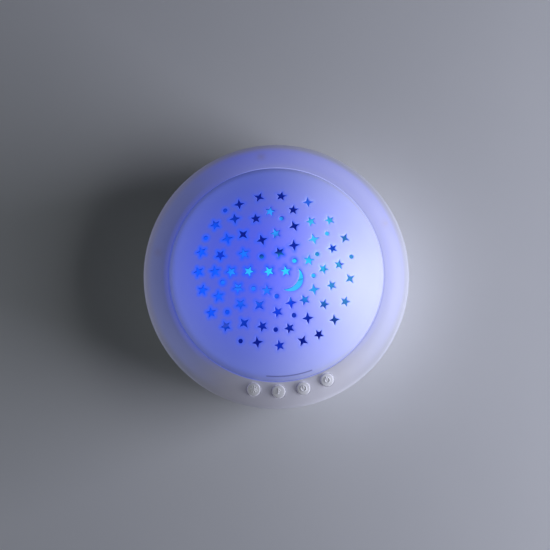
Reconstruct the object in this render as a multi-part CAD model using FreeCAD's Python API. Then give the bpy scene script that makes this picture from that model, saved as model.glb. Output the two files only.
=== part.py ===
import FreeCAD, Part
import math
import os
from FreeCAD import Vector

# Star night light projector, in millimetres.
# Z is up. The origin is the centre of the footprint, on the surface that the feet stand on.
# Bearings are in degrees round Z: 0 is +X (right), 90 is the back, 270 is the front with the buttons.

# Body form, seen from the side
body_radius = 65.0             # widest, at the equator
equator_z = 37.5
parting_z = 33.0               # joint between the base shell and the shoulder ring
floor_z = 1.5                  # underside of the base shell, lifted by the feet
base_wall = 2.2
base_corner_radius = 14.0
side_lean = 4.0                # degrees that the side leans out from the floor to the equator
shoulder_wall = 2.2
shoulder_round = 4.5           # radius of the turn from the side to the shoulder
shoulder_slope = 38.0          # degrees of slope where that turn ends
shoulder_crown_radius = 29.0   # radius of the shoulder's gentle crown
tongue_thickness = 1.0
tongue_height = 2.0

# Dome
shoulder_width = 13.0          # from the widest part in to the dome's edge
dome_edge_radius = body_radius - shoulder_width
dome_gap = 0.15                # seam between the dome and the shoulder's lip
dome_step = 0.2                # the dome's edge sits this much below the lip
dome_flattening = 6.5          # how much larger than its edge the dome's sphere is
dome_sphere_radius = dome_edge_radius + dome_flattening
dome_wall = 1.8
shelf_drop = 3.2               # from the lip down to the shelf that carries the dome
shelf_thickness = 2.0
shelf_overlap = 2.7            # how far the shelf reaches in under the dome's edge
dome_boss_radius = 2.8
dome_boss_inset = 4.3          # from the dome's edge to the boss centres, which run into its wall
dome_boss_bearings = (54.0, 126.0, 198.0, 342.0)

# Light holes in the dome
hole_margin = 15.9             # from the dome's edge in to the outer ring of stars
star_four_tip_radius = 2.5
star_five_tip_radius = 2.35
star_four_waist = 0.40         # inner corner radius as a share of the tip radius
star_five_waist = 0.46
dot_radius = 1.05
moon_radius = 6.0
moon_bite_radius = 7.3
moon_thickness = 2.5
moon_share = 0.229
moon_bearing = 315.0
moon_opening = 136.6

# Housing screws, from below
housing_screw_bearings = (18.0, 90.0, 162.0, 234.0, 306.0)
housing_screw_inset = 7.0      # from the widest part
housing_screw_circle = body_radius - housing_screw_inset
housing_tube_radius = 4.6
housing_head_radius = 2.9
housing_head_height = 2.2
housing_seat_z = 24.0
housing_shank_radius = 1.5
housing_boss_radius = 3.2
housing_bite = 7.0             # length of thread in the shoulder's boss

# Battery well and door
cell_diameter = 14.5
cell_length = 50.5
cell_nub_radius = 2.75
cell_nub_length = 1.0
cell_pitch = 14.9
cell_count = 3
cell_room = 0.6                # beside and above the cells
contact_room = 2.6             # at each end of a cell
contact_thickness = 0.5
spring_radius = 4.4            # of the spring contacts at their plates
contact_width = 9.0
contact_tail_width = 1.8
contact_tail_height = 1.5      # above the well's roof
well_wall = 2.0
well_centre_y = 14.75
door_ledge = 1.9
door_gap = 0.3
door_corner_radius = 3.0
door_ear_radius = 4.5
door_ear_offset = 3.0          # from the well's back wall to the door screw
door_screw_radius = 1.25
door_screw_length = 9.0
door_tab_width = 8.0
door_tab_reach = 2.0
door_tab_thickness = 1.4
door_tab_offset = 16.0

# Speaker
speaker_gap = 1.5              # to the battery well's wall
speaker_side_room = 17.5       # from the widest part
speaker_rim = 3.0
speaker_flange = 1.2
speaker_basket_depth = 8.3
speaker_back_share = 0.6       # of the speaker's radius
speaker_magnet_height = 4.5
speaker_sheet = 0.8
cone_sheet = 0.4
cone_cap_radius = 5.0
gasket_thickness = 0.8
speaker_screw_offset = 2.6     # from the speaker's rim to the screw centres
speaker_screw_bearings = (30.0, 150.0, 270.0)
speaker_screw_head = 3.6
speaker_boss_radius = 2.5
grille_hole_radius = 1.2
grille_pitch = 4.2
grille_rings = 3

# Feet
foot_radius = 5.0
foot_recess = 1.0
foot_inset = 21.0              # from the widest part
foot_circle = body_radius - foot_inset
foot_bearings = (22.0, 158.0, 222.0, 318.0)

# Boards
board_thickness = 1.6
board_corner = 1.5
main_board_end_room = 2.85     # from the well's inner end to the board's end, past the contacts' tails
main_board_side_room = 2.75    # from the well's inner side to the board's side
standoff_height = 2.5
standoff_radius = 2.2
main_screw_inset = 3.5
main_screw_radius = 0.95
small_head_radius = 1.9
small_head_height = 1.3
led_board_inset = 6.0          # from the dome's edge
led_board_radius = dome_edge_radius - led_board_inset
led_board_z = 34.0
led_post_radius = 3.0
led_post_bearings = (5.0, 175.0, 215.0, 325.0)
led_screw_radius = 1.25
led_screw_head = 2.4
led_screw_length = 9.0
connector_length = 6.0
connector_depth = 4.5
connector_height = 4.5
low_socket_height = 3.5        # of the sockets under the upper boards
socket_inset = 0.5             # from the button board's edge

# Light tray and lamps
tray_wall = 1.4
tray_height = 5.0
tray_lamp_hole = 3.8
star_lamp_base = 4.0
star_lamp_lens = 2.7
star_lamp_height = 1.6
lamp_size = 5.0
lamp_height = 1.6
lamp_gap = 0.5                 # between the tray and the lamps round it
row_lamps = 3                  # each side of the star lamp, in a row along X
row_start_gap = 4.0            # from the star lamp to the row's first lamps
row_end_inset = 12.5           # from the tray's wall to the row's last lamps
ring_lamp_inset = 3.0          # from the lamp board's edge
ring_lamp_circle = led_board_radius - ring_lamp_inset
tray_radius = ring_lamp_circle - lamp_size / 2 - lamp_gap
led_post_inset = 6.0           # from the tray's wall
led_post_circle = tray_radius - led_post_inset
ring_lamp_bearings = (340.0, 10.0, 36.0, 72.0, 108.0, 144.0, 172.0, 206.0)

# Buttons
button_names = ("light", "music", "timer", "power")
button_inset = 8.2             # from the widest part
button_circle = body_radius - button_inset
button_pitch = 12.2            # degrees between buttons
button_radius = 3.1
button_gap = 0.15
button_crown_radius = 20.0
button_proud = 1.0             # crown above the shoulder's surface
button_travel = 0.8
sleeve_radius = 4.9
sleeve_bottom_z = 39.5
flange_radius = 4.4
flange_thickness = 0.8
flange_gap = 0.1
key_width = 1.0
key_height = 2.0
key_gap = 0.15
switch_size = 6.2
switch_height = 3.8
switch_floor = 0.2
plunger_radius = 1.6
plunger_gap = 0.1
button_board_reach_in = 6.8    # from the buttons' centres
button_board_reach_out = 4.4
button_board_inner = button_circle - button_board_reach_in
button_board_outer = button_circle + button_board_reach_out
button_post_radius = 2.4
button_post_gap = 0.33         # from the outer buttons' flanges to the posts
button_board_end = 2.5         # degrees from the posts to the board's ends
button_screw_length = 6.0

# Fits
screw_gap = 0.02               # a thread in its own pilot hole
pass_gap = 0.3                 # a screw through a plain hole
wire_radius = 0.6


def polar(radius, bearing):
    """The point at a radius and a bearing."""
    angle = math.radians(bearing)
    return radius * math.cos(angle), radius * math.sin(angle)


def rod(x, y, low, high, radius):
    """An upright cylinder."""
    return Part.makeCylinder(radius, high - low, Vector(x, y, low))


def block(x_low, x_high, y_low, y_high, z_low, z_high):
    """A box between two corners."""
    size = (x_high - x_low, y_high - y_low, z_high - z_low)
    return Part.makeBox(*size, Vector(x_low, y_low, z_low))


def plate(x_low, x_high, y_low, y_high, z_low, z_high, corner):
    """A flat box with round upright corners."""
    body = block(x_low, x_high, y_low, y_high, z_low, z_high)
    upright = [edge for edge in body.Edges if abs(edge.tangentAt(edge.FirstParameter).z) > 0.9]
    return body.makeFillet(corner, upright)


def on_arc(centre, radius, angle):
    """A point of a circle in the side view, as (radius, height)."""
    turn = math.radians(angle)
    return centre[0] + radius * math.cos(turn), centre[1] + radius * math.sin(turn)


def line(start, end):
    """A straight edge in the side view."""
    return Part.makeLine(Vector(start[0], 0, start[1]), Vector(end[0], 0, end[1]))


def arc(centre, radius, start, end):
    """A round edge in the side view, between two angles."""
    points = [on_arc(centre, radius, angle) for angle in (start, (start + end) / 2, end)]
    return Part.Arc(*[Vector(r, 0, z) for r, z in points]).toShape()


def chain(points):
    """Straight edges through a closed list of points in the side view."""
    return [line(a, b) for a, b in zip(points, points[1:] + points[:1])]


def spun(edges):
    """The solid made by turning a closed side view round Z."""
    return Part.Face(Part.Wire(edges)).revolve(Vector(), Vector(0, 0, 1), 360)


def joined(shapes):
    """Several shapes fused into one solid."""
    first, rest = shapes[0], shapes[1:]
    return first.fuse(rest).removeSplitter() if rest else first


def group(shapes):
    """Several separate solids in one node."""
    return Part.makeCompound(shapes)


def turned(shape, bearing):
    """A shape turned round Z from its place at bearing 0."""
    copy = shape.copy()
    copy.rotate(Vector(), Vector(0, 0, 1), bearing)
    return copy


def screw(x, y, seat_z, up, head_radius, head_height, shank_radius, length):
    """A screw whose head sits at seat_z and whose shank points up (1) or down (-1)."""
    head = Part.makeCylinder(head_radius, head_height, Vector(x, y, seat_z), Vector(0, 0, -up))
    shank = Part.makeCylinder(shank_radius, length, Vector(x, y, seat_z), Vector(0, 0, up))
    recess = Part.makeCylinder(shank_radius, head_height / 2,
                               Vector(x, y, seat_z - up * head_height), Vector(0, 0, up))
    return head.fuse(shank).cut(recess)


# Side view of the body: the side, the turn above it and the shoulder's crown are tangent to each other.
lean = math.radians(side_lean)
turn_centre = (body_radius - shoulder_round, equator_z)
crown_angle = 90 - shoulder_slope
crown_centre = on_arc(turn_centre, shoulder_round - shoulder_crown_radius, crown_angle)


def side_radius(z, inset):
    """Radius of the leaning side at a height, moved in by an inset."""
    top_radius, top_z = on_arc(turn_centre, shoulder_round - inset, -side_lean)
    return top_radius - (top_z - z) * math.tan(lean)


corner_z = floor_z + base_corner_radius
corner_end_z = corner_z - base_corner_radius * math.sin(lean)
corner_centre = (side_radius(corner_end_z, 0) - base_corner_radius * math.cos(lean), corner_z)


def crown_z(radius, inset):
    """Height of the shoulder's crown at a radius, moved in by an inset."""
    reach = radius - crown_centre[0]
    return crown_centre[1] + math.sqrt((shoulder_crown_radius - inset) ** 2 - reach ** 2)


def crown_edge(radius, inset):
    """The crown's edge from the turn in to a radius."""
    reach = (radius - crown_centre[0]) / (shoulder_crown_radius - inset)
    return arc(crown_centre, shoulder_crown_radius - inset, crown_angle, math.degrees(math.acos(reach)))


lip_radius = dome_edge_radius + dome_gap
lip_z = crown_z(lip_radius, 0)
shelf_top = lip_z - shelf_drop
shelf_bottom = shelf_top - shelf_thickness
crease_z = lip_z - dome_step
dome_centre_z = crease_z - math.sqrt(dome_sphere_radius ** 2 - dome_edge_radius ** 2)
floor_top = floor_z + base_wall

# Battery well, from the cells outwards
well_half_length = cell_length / 2 + contact_room
well_half_width = (cell_count - 1) * cell_pitch / 2 + cell_diameter / 2 + cell_room
well_top = floor_top + cell_diameter + 2 * cell_room
roof_top = well_top + well_wall
cell_z = floor_top + cell_room + cell_diameter / 2
well_front = well_centre_y - well_half_width
well_back = well_centre_y + well_half_width
door_screw_y = well_back + well_wall + door_ear_offset
main_board_z = roof_top + standoff_height
main_board_length = 2 * (well_half_length - main_board_end_room)
main_board_width = 2 * (well_half_width - main_board_side_room)

# The speaker fills the room between the well and the body's front
speaker_back = well_front - well_wall - speaker_gap
speaker_radius = (speaker_back + body_radius - speaker_side_room) / 2
speaker_y = speaker_back - speaker_radius
speaker_back_radius = speaker_radius * speaker_back_share

# Buttons and their board
button_post_reach = flange_radius + button_post_radius + button_post_gap
button_post_bearing = ((len(button_names) - 1) / 2 * button_pitch    # degrees each side of the front
                       + 2 * math.degrees(math.asin(button_post_reach / (2 * button_circle))))
button_bearings = [270 + (index - (len(button_names) - 1) / 2) * button_pitch
                   for index in range(len(button_names))]
flange_top = sleeve_bottom_z - flange_gap
flange_bottom = flange_top - flange_thickness
switch_top = flange_bottom - button_travel - switch_floor
button_board_top = switch_top - switch_height
button_board_bottom = button_board_top - board_thickness


def body_space(inset, top):
    """The whole space inside the body's surface up to a height on the side, moved in by an inset."""
    corner = base_corner_radius - inset
    corner_start = on_arc(corner_centre, corner, -90)
    corner_end = on_arc(corner_centre, corner, -side_lean)
    wall_top = (side_radius(top, inset), top)
    return spun([
        line((0, corner_start[1]), corner_start),
        arc(corner_centre, corner, -90, -side_lean),
        line(corner_end, wall_top),
        line(wall_top, (0, top)),
        line((0, top), (0, corner_start[1])),
    ])


def shoulder_space(inset):
    """The whole space under the shoulder's surface above the parting plane, moved in by an inset."""
    side_end = on_arc(turn_centre, shoulder_round - inset, -side_lean)
    lip = (lip_radius, crown_z(lip_radius, inset))
    side_start = (side_radius(parting_z, inset), parting_z)
    return spun([
        line((0, parting_z), side_start),
        line(side_start, side_end),
        arc(turn_centre, shoulder_round - inset, -side_lean, crown_angle),
        crown_edge(lip_radius, inset),
        line(lip, (0, lip[1])),
        line((0, lip[1]), (0, parting_z)),
    ])


# Base shell: the bowl that everything stands in
def battery_door_outline(low, high, gap):
    """The door's plate and its screw ear, grown by a gap."""
    half_length = well_half_length + door_ledge - door_gap + gap
    half_width = well_half_width + door_ledge - door_gap + gap
    panel = plate(-half_length, half_length, well_centre_y - half_width, well_centre_y + half_width,
                  low, high, door_corner_radius)
    ear = rod(0, door_screw_y, low, high, door_ear_radius + gap)
    neck = block(-door_ear_radius - gap, door_ear_radius + gap, well_centre_y, door_screw_y, low, high)
    return joined([panel, ear, neck])


def speaker_screw_places():
    circle = speaker_radius + speaker_screw_offset
    return [(x, y + speaker_y) for x, y in (polar(circle, bearing) for bearing in speaker_screw_bearings)]


def main_screw_places():
    reach_x = main_board_length / 2 - main_screw_inset
    reach_y = main_board_width / 2 - main_screw_inset
    return [(x, well_centre_y + y) for x in (-reach_x, reach_x) for y in (-reach_y, reach_y)]


def cell_places():
    """Each cell's row, and the side (1 is +X) that its nub points to."""
    middle = (cell_count - 1) / 2
    return [(well_centre_y + (index - middle) * cell_pitch, 1 if index % 2 == 0 else -1)
            for index in range(cell_count)]


def contact_tail(gap):
    """The tail of the first cell's two contacts, through the well's roof."""
    y = cell_places()[0][0] + contact_width / 2 - contact_tail_width
    outer = well_half_length + gap
    inner = well_half_length - contact_thickness - gap
    low, high = cell_z, roof_top + contact_tail_height
    width = contact_tail_width + gap
    return [block(min(side * inner, side * outer), max(side * inner, side * outer),
                  y - gap, y + width, low, high) for side in (-1, 1)]


def bowl():
    tongue_inner = side_radius(parting_z, base_wall)
    tongue_outer = tongue_inner + tongue_thickness
    tongue_top = parting_z + tongue_height
    rim = side_radius(parting_z, 0)
    inner_corner = base_corner_radius - base_wall
    return spun([
        line((0, floor_z), (corner_centre[0], floor_z)),
        arc(corner_centre, base_corner_radius, -90, -side_lean),
        line(on_arc(corner_centre, base_corner_radius, -side_lean), (rim, parting_z)),
        line((rim, parting_z), (tongue_outer, parting_z)),
        line((tongue_outer, parting_z), (tongue_outer, tongue_top)),
        line((tongue_outer, tongue_top), (tongue_inner, tongue_top)),
        line((tongue_inner, tongue_top), (tongue_inner, parting_z)),
        line((tongue_inner, parting_z), on_arc(corner_centre, inner_corner, -side_lean)),
        arc(corner_centre, inner_corner, -side_lean, -90),
        line((corner_centre[0], floor_top), (0, floor_top)),
        line((0, floor_top), (0, floor_z)),
    ])


def grille_holes():
    holes = [rod(0, speaker_y, floor_z, floor_top, grille_hole_radius)]
    for ring in range(1, grille_rings + 1):
        for step in range(6 * ring):
            x, y = polar(ring * grille_pitch, step * 60 / ring)
            holes.append(rod(x, y + speaker_y, floor_z, floor_top, grille_hole_radius))
    return holes


def make_base_shell():
    mid_floor = floor_z + base_wall / 2
    outer_x = well_half_length + well_wall
    outer_y = well_half_width + well_wall
    added = [plate(-outer_x, outer_x, well_centre_y - outer_y, well_centre_y + outer_y,
                   mid_floor, roof_top, door_corner_radius)]
    for bearing in housing_screw_bearings:
        x, y = polar(housing_screw_circle, bearing)
        added.append(rod(x, y, floor_z, parting_z, housing_tube_radius))
    for bearing in led_post_bearings:
        x, y = polar(led_post_circle, bearing)
        added.append(rod(x, y, mid_floor, led_board_z, led_post_radius))
    speaker_seat = floor_top + gasket_thickness + speaker_flange
    for x, y in speaker_screw_places():
        added.append(rod(x, y, mid_floor, speaker_seat, speaker_boss_radius))
    for x, y in main_screw_places():
        added.append(rod(x, y, well_top + well_wall / 2, main_board_z, standoff_radius))
    added.append(rod(0, door_screw_y, mid_floor, floor_top + door_screw_length,
                     door_ear_radius + door_gap + well_wall))
    inside = body_space(base_wall / 2, max(parting_z, led_board_z))
    tubes = body_space(0, parting_z)
    limits = [tubes if shape.BoundBox.ZMin < mid_floor else inside for shape in added]
    body = joined([bowl()] + [shape.common(limit) for shape, limit in zip(added, limits)])
    ledge_gap = door_ledge - door_gap
    removed = [block(-well_half_length, well_half_length, well_front, well_back, floor_z, well_top)]
    removed.append(battery_door_outline(floor_z - base_wall, floor_top, door_gap))
    for side in (-1, 1):
        middle = side * door_tab_offset
        width = door_tab_width / 2 + door_gap
        removed.append(block(middle - width, middle + width,
                             well_front - ledge_gap - door_tab_reach - 2 * door_gap, well_front,
                             floor_top, floor_top + door_tab_thickness + door_gap))
    removed += contact_tail(door_gap / 2)
    for bearing in housing_screw_bearings:
        x, y = polar(housing_screw_circle, bearing)
        removed.append(rod(x, y, floor_z - base_wall, housing_seat_z, housing_head_radius + pass_gap))
        removed.append(rod(x, y, housing_seat_z, parting_z, housing_shank_radius + pass_gap))
    for bearing in led_post_bearings:
        x, y = polar(led_post_circle, bearing)
        removed.append(rod(x, y, led_board_z - led_screw_length, led_board_z,
                           led_screw_radius + screw_gap))
    for x, y in speaker_screw_places():
        removed.append(rod(x, y, floor_top, speaker_seat, main_screw_radius + screw_gap))
    for x, y in main_screw_places():
        removed.append(rod(x, y, main_board_z - standoff_height - well_wall / 2, main_board_z,
                           main_screw_radius + screw_gap))
    removed.append(rod(0, door_screw_y, floor_top, floor_top + door_screw_length - base_wall,
                       door_screw_radius + screw_gap))
    for bearing in foot_bearings:
        x, y = polar(foot_circle, bearing)
        removed.append(rod(x, y, floor_z - foot_recess, floor_z + foot_recess, foot_radius))
    return body.cut(removed + grille_holes())


# Shoulder ring: the lit collar that carries the dome, the buttons and their board
def make_shoulder_ring():
    rim = (side_radius(parting_z, 0), parting_z)
    inner_rim = (side_radius(parting_z, shoulder_wall), parting_z)
    shelf_radius = dome_edge_radius - shelf_overlap
    hang_radius = lip_radius + shoulder_wall
    inner_turn = shoulder_round - shoulder_wall
    inner_crown = crown_edge(hang_radius, shoulder_wall)
    inner_crown_top = (hang_radius, crown_z(hang_radius, shoulder_wall))
    body = spun([
        line(rim, on_arc(turn_centre, shoulder_round, -side_lean)),
        arc(turn_centre, shoulder_round, -side_lean, crown_angle),
        crown_edge(lip_radius, 0),
        line((lip_radius, lip_z), (lip_radius, shelf_top)),
        line((lip_radius, shelf_top), (shelf_radius, shelf_top)),
        line((shelf_radius, shelf_top), (shelf_radius, shelf_bottom)),
        line((shelf_radius, shelf_bottom), (hang_radius, shelf_bottom)),
        line((hang_radius, shelf_bottom), inner_crown_top),
        inner_crown,
        arc(turn_centre, inner_turn, crown_angle, -side_lean),
        line(on_arc(turn_centre, inner_turn, -side_lean), inner_rim),
        line(inner_rim, rim),
    ])
    boss_circle = dome_edge_radius - dome_boss_inset
    added = []
    for bearing in housing_screw_bearings:
        x, y = polar(housing_screw_circle, bearing)
        added.append(rod(x, y, parting_z, lip_z, housing_boss_radius))
    for bearing in button_bearings:
        x, y = polar(button_circle, bearing)
        added.append(rod(x, y, sleeve_bottom_z, lip_z, sleeve_radius))
    for side in (-1, 1):
        x, y = polar(button_circle, 270 + side * button_post_bearing)
        added.append(rod(x, y, button_board_top, lip_z, button_post_radius))
    inside = shoulder_space(shoulder_wall / 2)
    ring_only = inside.cut(rod(0, 0, parting_z - 1, lip_z + 1, lip_radius + shoulder_wall / 2))
    added = [shape.common(ring_only) for shape in added]
    for bearing in dome_boss_bearings:
        x, y = polar(boss_circle, bearing)
        added.append(rod(x, y, shelf_bottom, shelf_top, dome_boss_radius + shelf_thickness / 2))
    body = joined([body] + added)
    tongue_inner = side_radius(parting_z, base_wall)
    rebate_outer = tongue_inner + tongue_thickness + screw_gap
    rebate_top = parting_z + tongue_height + dome_gap
    rebate = rod(0, 0, parting_z, rebate_top, rebate_outer)
    removed = [rebate.cut(rod(0, 0, parting_z, rebate_top, tongue_inner - pass_gap))]
    for bearing in housing_screw_bearings:
        x, y = polar(housing_screw_circle, bearing)
        removed.append(rod(x, y, parting_z, parting_z + housing_bite, housing_shank_radius + screw_gap))
    for bearing in button_bearings:
        x, y = polar(button_circle, bearing)
        removed.append(rod(x, y, sleeve_bottom_z, lip_z + button_proud, button_radius + button_gap))
        key = block(button_circle, button_circle + flange_radius + key_gap,
                    -key_width / 2 - key_gap, key_width / 2 + key_gap,
                    sleeve_bottom_z, flange_top + key_height + key_gap)
        removed.append(turned(key, bearing))
    for side in (-1, 1):
        x, y = polar(button_circle, 270 + side * button_post_bearing)
        removed.append(rod(x, y, button_board_top, button_board_bottom + button_screw_length,
                           main_screw_radius + screw_gap))
    for bearing in dome_boss_bearings:
        x, y = polar(boss_circle, bearing)
        removed.append(rod(x, y, shelf_bottom, shelf_top, led_screw_radius + pass_gap))
    return body.cut(removed)


# Star dome: a shell cut right through, straight down, by stars, dots and one moon
# Each row is a hole's share of the hole field's radius, its bearing, its shape and its turn in degrees.
hole_chart = (
    (0.11, 200, "five", 36), (0.13, 331, "five", 18), (0.20, 72, "five", 36), (0.24, 136, "dot", 0),
    (0.25, 14, "dot", 0), (0.32, 240, "five", 12), (0.36, 180, "five", 60), (0.37, 45, "four", 0),
    (0.37, 263, "dot", 0), (0.40, 215, "dot", 0), (0.41, 110, "four", 10), (0.43, 6, "five", 6),
    (0.45, 84, "five", 30), (0.46, 149, "five", 24), (0.49, 285, "four", 0), (0.49, 341, "dot", 0),
    (0.53, 238, "four", 36), (0.55, 304, "five", 36), (0.56, 323, "four", 4), (0.56, 12, "dot", 0),
    (0.56, 200, "five", 42), (0.57, 264, "five", 36), (0.59, 177, "five", 36), (0.60, 60, "four", 16),
    (0.61, 352, "five", 60), (0.62, 127, "four", 36), (0.62, 31, "four", 10), (0.65, 283, "dot", 0),
    (0.66, 77, "dot", 0), (0.66, 218, "five", 48), (0.71, 105, "five", 18), (0.72, 187, "dot", 0),
    (0.75, 336, "five", 36), (0.75, 141, "four", 6), (0.75, 159, "five", 48), (0.76, 89, "five", 0),
    (0.76, 295, "four", 0), (0.77, 249, "five", 36), (0.77, 47, "five", 36), (0.77, 316, "five", 66),
    (0.78, 13, "five", 36), (0.79, 262, "dot", 0), (0.79, 275, "five", 36), (0.80, 175, "five", 18),
    (0.81, 67, "five", 6), (0.81, 28, "dot", 0), (0.82, 357, "five", 6), (0.82, 232, "four", 30),
    (0.83, 198, "five", 18), (0.85, 214, "dot", 0), (0.86, 122, "four", 0), (0.96, 36, "five", 36),
    (0.97, 346, "four", 30), (0.98, 79, "five", 0), (0.98, 248, "four", 0), (0.99, 265, "five", 24),
    (0.99, 18, "four", 60), (0.99, 283, "four", 60), (0.99, 96, "four", 60), (0.99, 58, "four", 0),
    (0.99, 328, "five", 66), (0.99, 221, "five", 36), (1.00, 136, "five", 36), (1.00, 112, "four", 0),
    (1.00, 312, "four", 0), (1.00, 188, "five", 0), (1.00, 3, "dot", 0), (1.01, 159, "five", 30),
    (1.01, 296, "five", 48), (1.02, 174, "five", 30), (1.02, 206, "five", 18), (1.02, 148, "dot", 0),
    (1.04, 236, "dot", 0), (1.04, 123, "dot", 0),
)


def star_face(points, tip_radius, waist, turn):
    """A flat star with its tips on the tip radius."""
    corners = []
    for step in range(2 * points):
        radius = tip_radius if step % 2 == 0 else tip_radius * waist
        corners.append(Vector(*polar(radius, turn + step * 180 / points), 0))
    return Part.Face(Part.makePolygon(corners + corners[:1]))


def moon_prism(height):
    """A crescent: a disc with a larger disc bitten out of it."""
    disc = rod(0, 0, 0, height, moon_radius)
    bite_offset = moon_bite_radius - moon_radius + moon_thickness
    x, y = polar(bite_offset, moon_opening)
    return disc.cut(rod(x, y, -1, height + 1, moon_bite_radius))


def light_holes():
    """Upright prisms for every light hole."""
    field = dome_edge_radius - hole_margin
    height = dome_sphere_radius
    up = Vector(0, 0, height)
    prisms = {
        "dot": lambda turn: rod(0, 0, 0, height, dot_radius),
        "four": lambda turn: star_face(4, star_four_tip_radius, star_four_waist, turn).extrude(up),
        "five": lambda turn: star_face(5, star_five_tip_radius, star_five_waist, turn).extrude(up),
    }
    holes = []
    for share, bearing, shape, turn in hole_chart:
        prism = prisms[shape](turn)
        prism.translate(Vector(*polar(share * field, bearing), shelf_top))
        holes.append(prism)
    moon = moon_prism(height)
    moon.translate(Vector(*polar(moon_share * field, moon_bearing), shelf_top))
    return holes + [moon]


def lying_sphere(radius):
    """A sphere round the dome's centre whose poles lie level, away from the cap."""
    ball = Part.makeSphere(radius)
    ball.rotate(Vector(), Vector(0, 1, 0), 90)
    ball.translate(Vector(0, 0, dome_centre_z))
    return ball


def make_star_dome():
    inner_radius = dome_edge_radius - dome_wall
    top = dome_centre_z + dome_sphere_radius + pass_gap
    outer = rod(0, 0, shelf_top, top, dome_edge_radius).common(lying_sphere(dome_sphere_radius))
    inner = rod(0, 0, shelf_top, top, inner_radius).common(lying_sphere(dome_sphere_radius - dome_wall))
    middle = lying_sphere(dome_sphere_radius - dome_wall / 2)
    space = rod(0, 0, shelf_top, top, dome_edge_radius - dome_wall / 2).common(middle)
    bosses = []
    pilots = []
    for bearing in dome_boss_bearings:
        x, y = polar(dome_edge_radius - dome_boss_inset, bearing)
        bosses.append(rod(x, y, shelf_top, top, dome_boss_radius).common(space))
        pilots.append(rod(x, y, shelf_top, shelf_top + dome_boss_inset, led_screw_radius + screw_gap))
    return joined([outer.cut(inner)] + bosses).cut(pilots + light_holes())


# Fasteners, feet and the battery door
def make_housing_screws():
    length = parting_z + housing_bite - housing_seat_z
    return group([screw(*polar(housing_screw_circle, bearing), housing_seat_z, 1, housing_head_radius,
                        housing_head_height, housing_shank_radius, length)
                  for bearing in housing_screw_bearings])


def make_dome_screws():
    length = shelf_thickness + dome_boss_inset
    return group([screw(*polar(dome_edge_radius - dome_boss_inset, bearing), shelf_bottom, 1,
                        led_screw_head, small_head_height, led_screw_radius, length)
                  for bearing in dome_boss_bearings])


def make_rubber_feet():
    return group([rod(*polar(foot_circle, bearing), 0, floor_z + foot_recess, foot_radius)
                  for bearing in foot_bearings])


def make_battery_door():
    door = battery_door_outline(floor_z, floor_top, 0)
    front = well_front - (door_ledge - door_gap)
    tabs = [block(side * door_tab_offset - door_tab_width / 2, side * door_tab_offset + door_tab_width / 2,
                  front - door_tab_reach, front + door_tab_reach,
                  floor_top, floor_top + door_tab_thickness)
            for side in (-1, 1)]
    seat = rod(0, door_screw_y, floor_z, floor_z + small_head_height, led_screw_head + pass_gap)
    hole = rod(0, door_screw_y, floor_z, floor_top, door_screw_radius + pass_gap)
    return joined([door] + tabs).cut([seat, hole])


def make_battery_door_screw():
    seat_z = floor_z + small_head_height
    length = door_screw_length - 2 * base_wall
    return screw(0, door_screw_y, seat_z, 1, led_screw_head, small_head_height, door_screw_radius, length)


# Battery cells and their contacts
def make_battery_cell(y, side):
    barrel = Part.makeCylinder(cell_diameter / 2, cell_length - cell_nub_length,
                               Vector(-side * cell_length / 2, y, cell_z), Vector(side, 0, 0))
    nub = Part.makeCylinder(cell_nub_radius, cell_nub_length,
                            Vector(side * (cell_length / 2 - cell_nub_length), y, cell_z),
                            Vector(side, 0, 0))
    return barrel.fuse(nub)


def contact_plate(y, side):
    face = well_half_length - contact_thickness
    return block(min(side * face, side * well_half_length), max(side * face, side * well_half_length),
                 y - contact_width / 2, y + contact_width / 2,
                 cell_z - contact_width / 2, cell_z + contact_width / 2)


def make_contacts(spring):
    """The spring contacts at the flat ends of the cells, or the plain ones at their nubs."""
    contacts = []
    depth = contact_room - contact_thickness
    tails = {-1: contact_tail(0)[0], 1: contact_tail(0)[1]}
    for index, (y, nub_side) in enumerate(cell_places()):
        side = -nub_side if spring else nub_side
        plate_face = Vector(side * (well_half_length - contact_thickness), y, cell_z)
        if spring:
            tip = Part.makeCone(spring_radius, cell_nub_radius, depth, plate_face, Vector(-side, 0, 0))
        else:
            tip = Part.makeCylinder(cell_nub_radius, depth, plate_face, Vector(-side, 0, 0))
        parts = [contact_plate(y, side), tip]
        if index == 0:
            parts.append(tails[side])
        contacts.append(joined(parts))
    return group(contacts)


# Speaker, facing down through the grille
def at_speaker(shape):
    shape.translate(Vector(0, speaker_y, 0))
    return shape


def make_speaker_gasket():
    top = floor_top + gasket_thickness
    return at_speaker(rod(0, 0, floor_top, top, speaker_radius).cut(
        rod(0, 0, floor_top, top, speaker_radius - speaker_rim)))


def make_speaker_frame():
    low = floor_top + gasket_thickness
    rim_top = low + speaker_flange
    back = low + speaker_basket_depth
    inner = speaker_radius - speaker_rim
    sheet = speaker_sheet
    frame = at_speaker(spun(chain([
        (inner, low), (speaker_radius, low), (speaker_radius, rim_top), (inner + 2 * sheet, rim_top),
        (speaker_back_radius, back - 2 * sheet), (speaker_back_radius, back),
        (speaker_back_radius / 2, back), (speaker_back_radius / 2, back - sheet),
        (speaker_back_radius - sheet, back - sheet), (speaker_back_radius - sheet, back - 2.5 * sheet),
        (inner, rim_top),
    ])))
    middle = speaker_y + (inner + speaker_back_radius) / 2
    terminal = block(-connector_length / 2, connector_length / 2,
                     middle - sheet, middle + 2 * sheet, (low + back) / 2, back - sheet)
    return joined([frame, terminal])


def make_speaker_cone():
    low = floor_top + gasket_thickness + cone_sheet
    cap = low + speaker_basket_depth / 2
    rim = speaker_radius - speaker_rim
    return at_speaker(spun(chain([
        (0, cap), (cone_cap_radius, cap), (rim - 1, low), (rim, low), (rim, low + cone_sheet),
        (rim - 1 + cone_sheet / 2, low + cone_sheet), (cone_cap_radius, cap + cone_sheet),
        (0, cap + cone_sheet),
    ])))


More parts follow.
